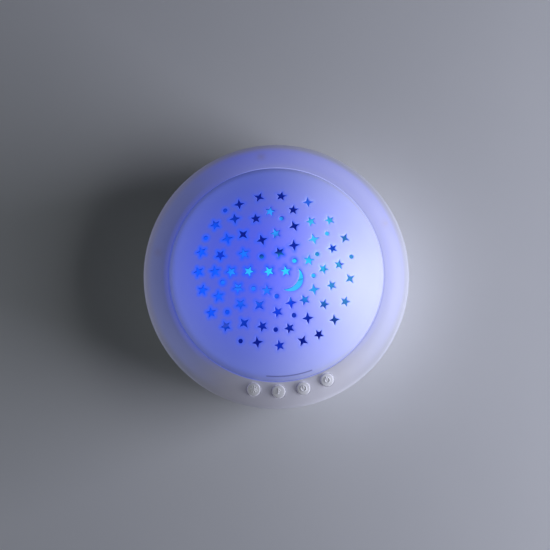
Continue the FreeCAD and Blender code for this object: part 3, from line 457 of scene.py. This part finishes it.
def shell_blocks(points, triangles, hole_spans, top, bottom):
    """Top skin, bottom skin and the upright walls of the holes between them, as a list of one block."""
    upper = np.column_stack([points, top])
    lower = np.column_stack([points, bottom])
    walls = []
    for low, high in hole_spans:
        here = np.arange(low, high)
        there = np.roll(here, -1)
        walls.append(np.stack([here, there, there + len(points), here + len(points)], 1))
    return [(np.vstack([upper, lower]), [triangles, triangles[:, ::-1] + len(points), np.vstack(walls)])]


print("softened edges have a radius of", edge_radius, "mm")

# %% [markdown]
# ## The star dome
#
# The dome is a thin cap of a sphere that drops into the ring's lip. Its holes go straight down, as a
# mould's pins make them. The small stars have four or five points with soft corners. A star could be
# drawn as a polygon and bevelled in Blender. Here its corners are rounded by averaging neighbouring
# points, which is one line for every star and keeps the points evenly spaced.

# %% The chart of holes
# Each row: share of the hole field's radius, bearing in degrees, shape, turn in degrees.
hole_chart = (
    (0.11, 200, "five", 36), (0.13, 331, "five", 18), (0.20, 72, "five", 36), (0.24, 136, "dot", 0),
    (0.25, 14, "dot", 0), (0.32, 240, "five", 12), (0.36, 180, "five", 60), (0.37, 45, "four", 0),
    (0.37, 263, "dot", 0), (0.40, 215, "dot", 0), (0.41, 110, "four", 10), (0.43, 6, "five", 6),
    (0.45, 84, "five", 30), (0.46, 149, "five", 24), (0.49, 285, "four", 0), (0.49, 341, "dot", 0),
    (0.53, 238, "four", 36), (0.55, 304, "five", 36), (0.56, 323, "four", 4), (0.56, 12, "dot", 0),
    (0.56, 200, "five", 42), (0.57, 264, "five", 36), (0.59, 177, "five", 36), (0.60, 60, "four", 16),
    (0.61, 352, "five", 60), (0.62, 127, "four", 36), (0.62, 31, "four", 10), (0.65, 283, "dot", 0),
    (0.66, 77, "dot", 0), (0.66, 218, "five", 48), (0.71, 105, "five", 18), (0.72, 187, "dot", 0),
    (0.75, 336, "five", 36), (0.75, 141, "four", 6), (0.75, 159, "five", 48), (0.76, 89, "five", 0),
    (0.76, 295, "four", 0), (0.77, 249, "five", 36), (0.77, 47, "five", 36), (0.77, 316, "five", 66),
    (0.78, 13, "five", 36), (0.79, 262, "dot", 0), (0.79, 275, "five", 36), (0.80, 175, "five", 18),
    (0.81, 67, "five", 6), (0.81, 28, "dot", 0), (0.82, 357, "five", 6), (0.82, 232, "four", 30),
    (0.83, 198, "five", 18), (0.85, 214, "dot", 0), (0.86, 122, "four", 0), (0.96, 36, "five", 36),
    (0.97, 346, "four", 30), (0.98, 79, "five", 0), (0.98, 248, "four", 0), (0.99, 265, "five", 24),
    (0.99, 18, "four", 60), (0.99, 283, "four", 60), (0.99, 96, "four", 60), (0.99, 58, "four", 0),
    (0.99, 328, "five", 66), (0.99, 221, "five", 36), (1.00, 136, "five", 36), (1.00, 112, "four", 0),
    (1.00, 312, "four", 0), (1.00, 188, "five", 0), (1.00, 3, "dot", 0), (1.01, 159, "five", 30),
    (1.01, 296, "five", 48), (1.02, 174, "five", 30), (1.02, 206, "five", 18), (1.02, 148, "dot", 0),
    (1.04, 236, "dot", 0), (1.04, 123, "dot", 0),
)
dome_edge = 52.0
hole_field = dome_edge - 15.9
# Each star: number of points, radius of the tips, and the inner corners' share of it.
star_points = {"four": (4, 2.5, 0.40), "five": (5, 2.35, 0.46)}
dot_radius = 1.05
moon_share, moon_bearing, moon_opening = 0.229, 315.0, 136.6
moon_radius, moon_bite, moon_thickness = 6.0, 7.3, 2.5
tip_allowance, star_softness, moon_softness = 1.07, 0.13, 0.16


def rounded(corners, count, soft):
    """An even outline through corners, each point replaced by the bell-weighted mean of its neighbours."""
    closed = np.vstack([corners, corners[:1]])
    run = np.r_[0, np.cumsum(np.linalg.norm(np.diff(closed, axis=0), axis=1))]
    along = np.arange(count) * run[-1] / count
    points = np.stack([np.interp(along, run, closed[:, side]) for side in (0, 1)], 1)
    step = run[-1] / count
    shifts = np.arange(-int(3 * soft / step) - 1, int(3 * soft / step) + 2)
    weights = np.exp(-0.5 * (shifts * step / soft) ** 2)
    return sum(weight * np.roll(points, shift, 0) for shift, weight in zip(shifts, weights / weights.sum()))


def star(count, tip, waist, turn):
    """Tips at the tip radius and inner corners at a share of it, turn and turn about, then rounded.

    Rounding draws the tips in, so they start a little further out.
    """
    angle = math.radians(turn) + np.arange(2 * count) * math.pi / count
    radius = np.where(np.arange(2 * count) % 2 == 0, tip * tip_allowance, tip * waist)
    corners = np.stack([radius * np.cos(angle), radius * np.sin(angle)], 1)
    return rounded(corners, 12 * count, star_softness)


def moon():
    """A crescent: the outer circle's arc and back along the larger circle that bites it."""
    opening = math.radians(moon_opening)
    offset = moon_bite - moon_radius + moon_thickness
    reach = (offset ** 2 + moon_radius ** 2 - moon_bite ** 2) / (2 * offset)
    half = math.acos(reach / moon_radius)
    back = math.acos((offset - reach) / moon_bite)
    outer = np.linspace(opening + half, opening + 2 * math.pi - half, 60)
    inner = np.linspace(opening + math.pi + back, opening + math.pi - back, 40)
    inner_x = offset * math.cos(opening) + moon_bite * np.cos(inner)
    inner_y = offset * math.sin(opening) + moon_bite * np.sin(inner)
    corners = np.vstack([np.stack([moon_radius * np.cos(outer), moon_radius * np.sin(outer)], 1),
                         np.stack([inner_x, inner_y], 1)[1:-1]])
    return rounded(corners, 110, moon_softness)


def at_bearing(radius, bearing):
    """The plan point at a radius and a bearing in degrees."""
    return radius * np.array([math.cos(math.radians(bearing)), math.sin(math.radians(bearing))])


dome_holes = []
for share, bearing, shape, turn in hole_chart:
    outline = circle(dot_radius, 24) if shape == "dot" else star(*star_points[shape], turn)
    dome_holes.append(outline + at_bearing(share * hole_field, bearing))
dome_holes.append(moon() + at_bearing(moon_share * hole_field, moon_bearing))
print(len(dome_holes), "holes, the moon among them")

# %% Build the dome
dome_wall = 1.8
sphere_radius, sphere_height = 58.5, 19.401
skirt_bottom = 43.17
dome_inner = dome_edge - dome_wall
crease_round = 0.2
rim_count = 360


def on_sphere(radius, inset=0.0):
    """Height of the sphere at a distance from the axis: centre height plus the other side of the triangle."""
    return sphere_height + np.sqrt((sphere_radius - inset) ** 2 - np.asarray(radius) ** 2)


points, triangles, nearest, spans = sheet_with_holes(
    dome_inner, 0, rim_count, dome_holes, coarse=1.3, fine=0.62)
from_axis = np.linalg.norm(points, axis=1)
dome_blocks = shell_blocks(points, triangles, spans, on_sphere(from_axis) - edge_drop(nearest),
                           on_sphere(from_axis, dome_wall))
crease = dome_edge - crease_round
out = np.linspace(dome_inner, crease, 4)
turn_down = on_arc((crease, on_sphere(crease) - crease_round), crease_round, 70, 0, 5)
side_view = np.vstack([np.stack([out, on_sphere(out)], 1), turn_down, [(dome_edge, skirt_bottom)],
                       [(dome_inner, skirt_bottom)], [(dome_inner, on_sphere(dome_inner, dome_wall))]])
dome_blocks.append(turned(side_view, rim_count))
star_dome = make_piece("dome_shell", dome_blocks, sharp_degrees=50,
                       values=[np.tile(nearest, 2), np.full(len(dome_blocks[1][0]), halo_reach)])
print("dome:", len(star_dome.data.polygons), "faces, top at", round(float(on_sphere(0)), 2), "mm")

# %% [markdown]
# ### The dome's glow
#
# The dome is milky plastic with blue lamps behind it. Real light scattering through the wall would need
# many samples to come out clean, and an exported model would lose it. A glow given by formula stays:
# strongest over the lamps in the middle, fading to the edge, with a light-blue halo where the cut edges
# let light out. On the right the glow and the halos are paler: painted light of the big lamp on that side.
# The narrow seam round the dome leaks light too, on the dome and on the ring alike, so one function gives
# it to both. Its strong, pale right side is painted light of the big lamp as well.

# %% Light in the dome's wall
rim_blue = (0.025, 0.04, 0.22)
halo_width = 2.1


def seam_light(finish, x, y):
    """Light that leaks out of the narrow seam, with the big lamp's light painted in:
    strong and pale on the right, weak on the left.
    """
    side = finish.fade(finish.calc("ADD", x, finish.calc("MULTIPLY", y, 0.3)), -20.0, 60.0)
    return finish.mix(side, rim_blue, (0.20, 0.22, 0.50))


dome_finish = Finish("dome_plastic_lit", (0.50, 0.52, 0.58), 0.60)
x, y, radius = dome_finish.plan()
broad = dome_finish.grain(0.22, 0.004, 0.60, 0.10)
middle_glow = dome_finish.patch((6, -2), 58, 58)
left_glow = dome_finish.patch((-28, 3), 38, 46, 0.8)
row_glow = dome_finish.patch((0, 3), 44, 12)
# Painted light: a paler glow on the right stands in for the big lamp's light in the plastic.
lamp_side_glow = dome_finish.patch((28, -6), 24, 27)
wall_light = dome_finish.mix(middle_glow, (0.055, 0.085, 0.42), (0.03, 0.055, 0.86))
wall_light = dome_finish.mix(dome_finish.calc("MULTIPLY", left_glow, 0.35), wall_light, (0.03, 0.06, 0.75))
wall_light = dome_finish.mix(lamp_side_glow, wall_light, (0.13, 0.16, 0.86))
hole_distance = dome_finish.tree.nodes.new("ShaderNodeAttribute")
hole_distance.attribute_name = "from_hole"
from_hole = hole_distance.outputs["Fac"]
near_lamps = dome_finish.calc("MAXIMUM", left_glow, row_glow)
halo = dome_finish.calc("MULTIPLY", dome_finish.fade(from_hole, halo_width, 0.0),
                        dome_finish.line(near_lamps, 0.25, 0.75))
# The side the big lamp lights: the halos are painted pale there, and the painted shade round the holes eases.
lit_right_side = dome_finish.fade(x, 6.0, 24.0)
halo_colour = dome_finish.mix(lit_right_side, (0.014, 0.10, 0.98), (0.10, 0.26, 0.95))
glow = dome_finish.mix(halo, wall_light, halo_colour)
print("the dome glows, with halos within", halo_width, "mm of a hole")

# %% [markdown]
# ### The dome's colour
#
# The halos and the walls of the holes get a deep tint under their light: painted shade, deepest on the left,
# away from the big lamp, and weaker on the right, where that lamp's light is left pale. The thin arc on the
# front rim could be a narrow strip of mesh. Here it is a line where the bearing and the distance from the
# axis fit, which needs no second piece.

# %% Tint the dome and draw the arc
arc_circle, arc_end, arc_full = 49.7, 13.4, 12.4
# Painted shade on the walls of the holes and in the halos, lighter on the lamp's side.
shaded_wall = dome_finish.calc("MULTIPLY", dome_finish.fade(from_hole, 0.10, 0.0),
                           dome_finish.line(lit_right_side, 0.95, -0.7))
shaded_halo = dome_finish.calc("MULTIPLY", halo, dome_finish.line(lit_right_side, 0.85, -0.85))
arc_side = dome_finish.fade(dome_finish.apart(dome_finish.front_bearing(x, y), 0.0),
                            math.radians(arc_end), math.radians(arc_full))
arc_line = dome_finish.fade(dome_finish.apart(radius, arc_circle), 0.45, 0.15)
arc_mark = dome_finish.calc("MULTIPLY", dome_finish.calc("MULTIPLY", arc_side, arc_line), 0.72)
tint = dome_finish.mix(broad, (0.50, 0.52, 0.57), (0.54, 0.555, 0.60))
tint = dome_finish.mix(shaded_halo, tint, (0.06, 0.09, 0.25))
tint = dome_finish.mix(shaded_wall, tint, (0.02, 0.03, 0.08))
dome_finish.paint(dome_finish.mix(arc_mark, tint, (0.16, 0.17, 0.30)))
glow = dome_finish.mix(dome_finish.fade(radius, 48.0, 52.5), glow, rim_blue)
glow = dome_finish.mix(arc_mark, glow, (0.01, 0.015, 0.12))
glow = dome_finish.mix(shaded_wall, glow, (0.002, 0.02, 0.36))
in_seam = dome_finish.fade(radius, 51.8, 51.97)
dome_finish.glow(dome_finish.mix(in_seam, glow, seam_light(dome_finish, x, y)))
star_dome.data.materials.append(dome_finish.material)
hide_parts("star_dome")
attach(star_dome, "housing")
print("the arc ends", arc_end, "degrees either side of the front")

# %% [markdown]
# ## The shoulder ring
#
# The ring is a crown that slopes out from the dome's seam, turns over and becomes the top of the side.
# Four button holes are cut straight down through its front. It is made the way the dome is: a sheet with
# holes for the crown, and a turned strip for the rest.

# %% Build the ring
crown_centre, crown_radius, crown_end = (45.42, 18.19), 29.0, 63.27
crown_inner, crown_outer = 53.0, 61.5
turn_centre, turn_radius, turn_top, turn_low = (60.5, 37.5), 4.5, 52, -4
ring_wall = 2.2
seam_height, seam_radius, seam_round = 33.0, 64.70, 0.3
step_outer, step_inner, step_height = 63.52, 62.64, 35.25
ledge_inner, ledge_bottom = 48.4, 41.17
lip_radius, lip_round = 52.15, 0.15
button_circle, button_hole = 56.8, 3.25
button_bearings = (251.7, 263.9, 276.1, 288.3)


def on_crown(radius, inset=0.0):
    """Height of the crown at a radius: a circle's arc in the side view."""
    across = np.asarray(radius) - crown_centre[0]
    return crown_centre[1] + np.sqrt((crown_radius - inset) ** 2 - across ** 2)


button_holes = [circle(button_hole, 64) + at_bearing(button_circle, bearing) for bearing in button_bearings]
points, triangles, nearest, spans = sheet_with_holes(
    crown_outer, crown_inner, rim_count, button_holes, coarse=1.0, fine=0.5)
from_axis = np.linalg.norm(points, axis=1)
ring_blocks = shell_blocks(points, triangles, spans, on_crown(from_axis) - edge_drop(nearest),
                           on_crown(from_axis, ring_wall))
out = np.linspace(crown_outer, crown_end, 4)[:-1]
outside = np.vstack([
    np.stack([out, on_crown(out)], 1),
    on_arc(turn_centre, turn_radius, turn_top, turn_low, 18),
    on_arc((seam_radius - seam_round, seam_height + seam_round), seam_round, turn_low, -90, 5),
    [(step_outer, seam_height), (step_outer, step_height), (step_inner, step_height)],
    on_arc(turn_centre, turn_radius - ring_wall, turn_low, turn_top, 8),
    [(crown_outer, on_crown(crown_outer, ring_wall))],
])
lip_top = on_crown(lip_radius + lip_round)
inside = np.vstack([
    [(crown_inner, on_crown(crown_inner, ring_wall)), (crown_inner, ledge_bottom),
     (ledge_inner, ledge_bottom), (ledge_inner, skirt_bottom), (lip_radius, skirt_bottom)],
    on_arc((lip_radius + lip_round, lip_top - lip_round), lip_round, 180, 95, 5),
    [(crown_inner, on_crown(crown_inner))],
])
ring_blocks += [turned(outside, rim_count), turned(inside, rim_count)]
shoulder_ring = make_piece("ring_shell", ring_blocks, sharp_degrees=50)
print("ring:", len(shoulder_ring.data.polygons), "faces")

# %% [markdown]
# ### The ring's finish
#
# Lamps at the edge of the board light the ring blue all round, except at the front, where the button board
# shades them and the plastic stays grey-white; its paler colour there is painted light. The posts inside
# cast faint warm shadows on the glow, painted into its colour. A mask painted on the mesh could hold all
# this. Formulas of the bearing and the distance from the axis are used, because each edge then has a number
# that can be measured in the picture.

# %% Finish the ring
# Degrees from the middle of the shaded front, which itself lies three degrees to the left.
grey_until, lit_from, shade_turn = 24, 58, -3.0
post_bearings, post_circle, post_size = (18.0, 90.0, 162.0, 234.0, 306.0), 58.6, 3.4
ring_finish = Finish("ring_plastic_lit", (0.70, 0.71, 0.75), 0.60)
x, y, radius = ring_finish.plan()
broad = ring_finish.grain(0.25, 0.004, 0.60, 0.10)
from_shade = ring_finish.apart(ring_finish.front_bearing(x, y), math.radians(shade_turn))
lit = ring_finish.fade(from_shade, math.radians(grey_until), math.radians(lit_from))
side_glow = ring_finish.fade(ring_finish.calc("ADD", x, y), -5.0, 70.0)
lit_colour = ring_finish.mix(side_glow, (0.038, 0.05, 0.19), (0.035, 0.05, 0.39))
near_seam = ring_finish.fade(radius, 55.5, 52.5)
lit_colour = ring_finish.mix(near_seam, lit_colour, (0.05, 0.065, 0.34))
# Painted light: the outer edge glows greyish, most at the upper left, standing in for room light on the
# shaded side.
upper_left = ring_finish.fade(ring_finish.calc("SUBTRACT", y, x), 0.0, 70.0)
outer_edge_light = ring_finish.mix(upper_left, (0.02, 0.025, 0.08), (0.06, 0.06, 0.14))
lit_colour = ring_finish.mix(ring_finish.fade(radius, 60.5, 64.0), lit_colour, outer_edge_light)
glow = ring_finish.mix(lit, (0.035, 0.032, 0.06), lit_colour)
# Painted shadows of the posts inside: over each post the glow dims and the colour warms.
post_shadows = 0.0
for bearing in post_bearings:
    post_shadow = ring_finish.patch(tuple(at_bearing(post_circle, bearing)), post_size, post_size)
    post_shadows = ring_finish.calc("MAXIMUM", post_shadows, post_shadow)
post_shadows = ring_finish.calc("MULTIPLY", post_shadows, ring_finish.calc("MULTIPLY", lit, 0.5))
glow = ring_finish.mix(post_shadows, glow, (0.04, 0.035, 0.12))
in_seam = ring_finish.fade(radius, 52.45, 52.2)
ring_finish.glow(ring_finish.mix(in_seam, glow, seam_light(ring_finish, x, y)))
tint = ring_finish.mix(broad, (0.69, 0.70, 0.73), (0.73, 0.735, 0.76))
# Painted light: the grey-white front gets a paler colour than the rest of the ring.
front_light_tint = ring_finish.mix(broad, (0.82, 0.82, 0.84), (0.86, 0.86, 0.88))
tint = ring_finish.mix(lit, front_light_tint, tint)
# Painted shade: the outer edge is darker on the right, where the big lamp falls on it.
outer_right_shade = ring_finish.calc("MULTIPLY", ring_finish.fade(radius, 57.0, 64.5),
                               ring_finish.fade(x, 5.0, 50.0))
tint = ring_finish.mix(outer_right_shade, tint, (0.50, 0.51, 0.54))
ring_finish.paint(ring_finish.mix(ring_finish.calc("MULTIPLY", post_shadows, 0.4), tint, (0.62, 0.56, 0.56)))
shoulder_ring.data.materials.append(ring_finish.material)
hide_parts("shoulder_ring")
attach(shoulder_ring, "housing")
print("the ring is fully lit from", lit_from, "degrees either side of the front")

# %% [markdown]
# ## The buttons
#
# Each cap is a short rod with a domed top that leans with the ring's slope, and a plain raised sign: a sun
# for the light, a note, a clock and a power sign. A sign could be a separate mesh pressed into the cap.
# As part of the cap's height it has no hidden faces, and its sides get the soft moulded slope for free.

# %% Signs as distances in plan
def to_run(u, v, start, end):
    """Distance from each point to a straight run: to its nearest place, found by projection."""
    du, dv = end[0] - start[0], end[1] - start[1]
    share = np.clip(((u - start[0]) * du + (v - start[1]) * dv) / (du * du + dv * dv), 0, 1)
    return np.hypot(u - start[0] - share * du, v - start[1] - share * dv)


stroke = 0.15


def sun_sign(u, v):
    """A disc and eight rays: the plane is folded into one eighth, so one ray draws all."""
    radius, turn = np.hypot(u, v), np.arctan2(v, u)
    folded = (turn + math.pi / 8) % (math.pi / 4) - math.pi / 8
    ray = to_run(radius * np.cos(folded), radius * np.sin(folded), (1.0, 0), (1.55, 0)) - stroke
    return np.minimum(radius - 0.6, ray)


def note_sign(u, v):
    """An oval head, an upright stem and a slanting flag: the nearest of the three."""
    head = np.hypot(u + 0.45, (v + 0.9) * 1.2) - 0.42
    stem = to_run(u, v, (-0.12, -0.85), (-0.12, 1.2)) - stroke
    flag = to_run(u, v, (-0.12, 1.2), (0.75, 0.6)) - stroke
    return np.minimum(head, np.minimum(stem, flag))


def clock_sign(u, v):
    """A ring and two hands from its middle."""
    ring = np.abs(np.hypot(u, v) - 1.35) - stroke
    hands = np.minimum(to_run(u, v, (0, 0), (0, 0.85)), to_run(u, v, (0, 0), (0.55, 0))) - stroke
    return np.minimum(ring, hands)


def power_sign(u, v):
    """A ring that is open at the top, and an upright stroke through the opening."""
    opening = np.abs(np.arctan2(u, v)) < math.radians(32)
    ring = np.where(opening, 9.0, np.abs(np.hypot(u, v + 0.1) - 1.2) - stroke)
    return np.minimum(ring, to_run(u, v, (0, 0.3), (0, 1.5)) - stroke)


signs = {"light": sun_sign, "music": note_sign, "timer": clock_sign, "power": power_sign}
print("a sign each for", ", ".join(signs))

# %% Build the four caps
cap_radius, cap_sphere, cap_round = 3.1, 20.0, 0.35
cap_centre = (49.342, 27.391)
cap_steps = 160
flange_radius, flange_top, flange_bottom = 4.4, 39.4, 38.6
sign_height, sign_slope = 0.3, 0.14


def make_cap(name, bearing, sign):
    """A polar grid lifted to a sphere that leans with the ring.

    Height = the sphere, less a quarter circle at the rim, plus the sign's smooth step.
    """
    flat = np.linspace(0, cap_radius - cap_round, 58)
    rim = np.radians(np.linspace(15, 90, 6))
    radius = np.r_[flat, cap_radius - cap_round + cap_round * np.sin(rim)]
    drop = np.r_[np.zeros(len(flat)), cap_round * (1 - np.cos(rim))]
    turn = np.arange(cap_steps) * 2 * np.pi / cap_steps
    outwards = radius[:, None] * np.cos(turn)
    sideways = radius[:, None] * np.sin(turn)
    from_centre = button_circle + outwards - cap_centre[0]
    top = cap_centre[1] + np.sqrt(cap_sphere ** 2 - from_centre ** 2 - sideways ** 2)
    inside_sign = np.clip(0.5 - sign(sideways, -outwards) / sign_slope, 0, 1)
    top += sign_height * inside_sign ** 2 * (3 - 2 * inside_sign) - drop[:, None]
    for extra_radius, height in ((cap_radius, flange_top), (flange_radius, flange_top),
                                 (flange_radius, flange_bottom), (0.0, flange_bottom)):
        outwards = np.vstack([outwards, extra_radius * np.cos(turn)])
        sideways = np.vstack([sideways, extra_radius * np.sin(turn)])
        top = np.vstack([top, np.full(len(turn), height)])
    ahead, across = at_bearing(1.0, bearing), at_bearing(1.0, bearing + 90)
    plan = (button_circle + outwards)[..., None] * ahead + sideways[..., None] * across
    points = np.concatenate([plan, top[..., None]], 2).reshape(-1, 3)
    row, column = np.meshgrid(np.arange(len(top) - 1), np.arange(cap_steps), indexing="ij")
    here, beside = row * cap_steps + column, row * cap_steps + (column + 1) % cap_steps
    faces = np.stack([here, here + cap_steps, beside + cap_steps, beside], -1).reshape(-1, 4)
    return make_piece(name, [(points, [faces])], sharp_degrees=60)


button_finish = Finish("button_plastic_white", (0.88, 0.88, 0.90), 0.40)
broad = button_finish.grain(0.2, 0.003, 0.40, 0.10)
button_finish.paint(button_finish.mix(broad, (0.86, 0.865, 0.885), (0.90, 0.90, 0.91)))
# Painted light: a faint glow makes the caps brighter than the lamps alone light them.
button_finish.glow((0.07, 0.07, 0.08))
for (name, sign), bearing in zip(signs.items(), button_bearings):
    cap = make_cap(f"cap_{name}", bearing, sign)
    cap.data.materials.append(button_finish.material)
    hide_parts(f"button_{name}")
    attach(cap, f"{name}_key")
    print("cap", name, "has", len(cap.data.polygons), "faces")

# %% [markdown]
# ## What shines inside
#
# Through the holes one sees the white tray, lit by a row of lamps: a bright cyan band across the middle,
# clear blue on the left, and deep blue towards the front and back where no lamp reaches. Lamps in the
# scene could light it, but their light would be lost in an exported model. The tray, the lamps and the
# boards keep the model's shapes, and their finish glows in soft patches laid one over another.

# %% Light up the tray, the lamp board and the lamps
# Each row: middle in plan, half width and half depth, share of the way out that is soft, colour.
deep_blue = (0.0008, 0.003, 0.15)
pools = [
    ((0, -13), 29, 18, 1.0, (0.006, 0.05, 0.75)), ((-33, 6), 31, 42, 0.7, (0.006, 0.10, 1.0)),
    ((36, -4), 24, 32, 0.8, (0.05, 0.27, 0.60)), ((17, -6), 12, 14, 0.7, (0.03, 0.34, 0.78)),
    ((24, 19), 13, 12, 0.6, (0.05, 0.52, 0.85)), ((2, 27), 7, 11, 0.6, (0.03, 0.34, 0.97)),
    ((-11, -3), 24, 13, 0.7, (0.02, 0.18, 0.98)),
]
# Small round pools and shades between the lamps, all of one size: middle and colour.
spots = [
    ((-21, 36), (0.010, 0.07, 0.76)), ((20, 35), (0.02, 0.11, 0.65)), ((-3, -34), (0.003, 0.02, 0.40)),
    ((-14.5, 13), (0.010, 0.17, 0.95)), ((-13.7, 22.3), deep_blue), ((-26, 14), (0.003, 0.03, 0.50)),
    ((12, 23.6), deep_blue), ((29.5, 10.4), (0.005, 0.05, 0.46)), ((11, 14.5), (0.002, 0.010, 0.26)),
    ((6, -21), (0.008, 0.03, 0.38)),
]
pools += [(middle, 4.6, 4.6, 0.6, shade) for middle, shade in spots]
pools += [((7, -6), 9, 8, 0.6, (0.05, 0.50, 0.96)), ((5, 3.5), 37, 9, 0.8, (0.035, 0.62, 0.99))]


def lit_inside(name, colour, roughness, strength):
    """A finish that glows in plan: a deep blue ground, with every pool mixed over what is there."""
    finish = Finish(name, colour, roughness)
    finish.grain(0.3, 0.004, roughness, 0.1)
    glow = deep_blue
    for middle, half_x, half_y, soft, shade in pools:
        glow = finish.mix(finish.patch(middle, half_x, half_y, soft), glow, shade)
    finish.glow(glow, strength)
    return finish.material


# The tray, the board and the lenses are white, but get a near-black colour: painted shade inside the closed
# light, where only their glow shows.
inner_finishes = {
    "tray_white": lit_inside("tray_white_lit", (0.03, 0.04, 0.08), 0.6, 1.0),
    "board_white": lit_inside("board_white_lit", (0.03, 0.04, 0.08), 0.6, 0.7),
    "lamp_lens": lit_inside("lamp_lens_lit", (0.05, 0.07, 0.10), 0.3, 1.1),
}
print("three finishes glow inside the dome")

# %% [markdown]
# ## Everything else
#
# The base, the battery door, the feet, the screws and what is inside keep the model's shapes. Each slot
# gets a finish of its own: two near tones in broad blots, and a grain that is coarse on rubber and foam
# and fine on plastics and metals. Image textures would need every mesh laid out flat first. Noise in the
# mesh's own millimetres needs no layout, and is equally fine on a screw and on the base.

# %% Plain finishes
def moulded(name, dark, light, roughness, size, depth, metallic=0.0):
    """A plain finish whose colour wanders between two near tones, with a grain of its own size and depth."""
    finish = Finish(name, light, roughness, metallic)
    broad = finish.grain(size, depth, roughness, 0.12)
    finish.paint(finish.mix(broad, dark, light))
    return finish.material


# Each row: kind, darker and lighter tone, roughness, size and depth of the grain, and 1.0 for a metal.
plain_slots = {
    "base_plastic": ("white", (0.68, 0.69, 0.72), (0.73, 0.74, 0.76), 0.42, 0.25, 0.005),
    "foot_rubber": ("grey", (0.16, 0.16, 0.17), (0.22, 0.22, 0.23), 0.8, 0.5, 0.03),
    "screw_steel": ("plated", (0.50, 0.50, 0.51), (0.62, 0.62, 0.63), 0.3, 0.15, 0.004, 1.0),
    "contact_nickel": ("plated", (0.60, 0.58, 0.54), (0.70, 0.68, 0.63), 0.25, 0.2, 0.003, 1.0),
    "gasket_foam": ("black", (0.03, 0.03, 0.03), (0.06, 0.06, 0.06), 0.95, 0.6, 0.10),
    "speaker_steel": ("pressed", (0.35, 0.35, 0.36), (0.45, 0.45, 0.46), 0.4, 0.2, 0.004, 1.0),
    "speaker_paper": ("black", (0.03, 0.03, 0.035), (0.07, 0.07, 0.075), 0.85, 0.5, 0.05),
    "magnet_steel": ("plated", (0.45, 0.45, 0.46), (0.55, 0.55, 0.56), 0.35, 0.2, 0.004, 1.0),
    "board_green": ("lacquer", (0.02, 0.12, 0.05), (0.03, 0.16, 0.07), 0.35, 0.4, 0.01),
    "chip_black": ("resin", (0.02, 0.02, 0.02), (0.035, 0.035, 0.035), 0.6, 0.2, 0.01),
    "capacitor_sleeve": ("black", (0.02, 0.02, 0.03), (0.04, 0.04, 0.06), 0.35, 0.4, 0.005),
    "connector_nylon": ("cream", (0.70, 0.67, 0.58), (0.78, 0.75, 0.66), 0.5, 0.3, 0.005),
    "switch_black": ("plastic", (0.02, 0.02, 0.02), (0.04, 0.04, 0.04), 0.45, 0.3, 0.005),
    "plunger_nylon": ("white", (0.72, 0.72, 0.70), (0.80, 0.80, 0.78), 0.5, 0.3, 0.005),
    "lead_vinyl": ("red", (0.45, 0.03, 0.03), (0.55, 0.05, 0.04), 0.45, 0.4, 0.005),
    "cell_wrap": ("grey", (0.25, 0.26, 0.28), (0.33, 0.34, 0.36), 0.35, 0.4, 0.005),
}
finishes = {slot: moulded(f"{slot}_{kind}", *values) for slot, (kind, *values) in plain_slots.items()}
finishes.update(inner_finishes)
finished = 0
for node in nodes.values():
    slot = node.data.materials[0].name if node.data.materials else ""
    finish = finishes.get(slot.split(".")[0])
    if finish:
        node.material_slots[0].material = finish
        finished += 1
print(finished, "of", len(nodes), "nodes have a finish of their own")
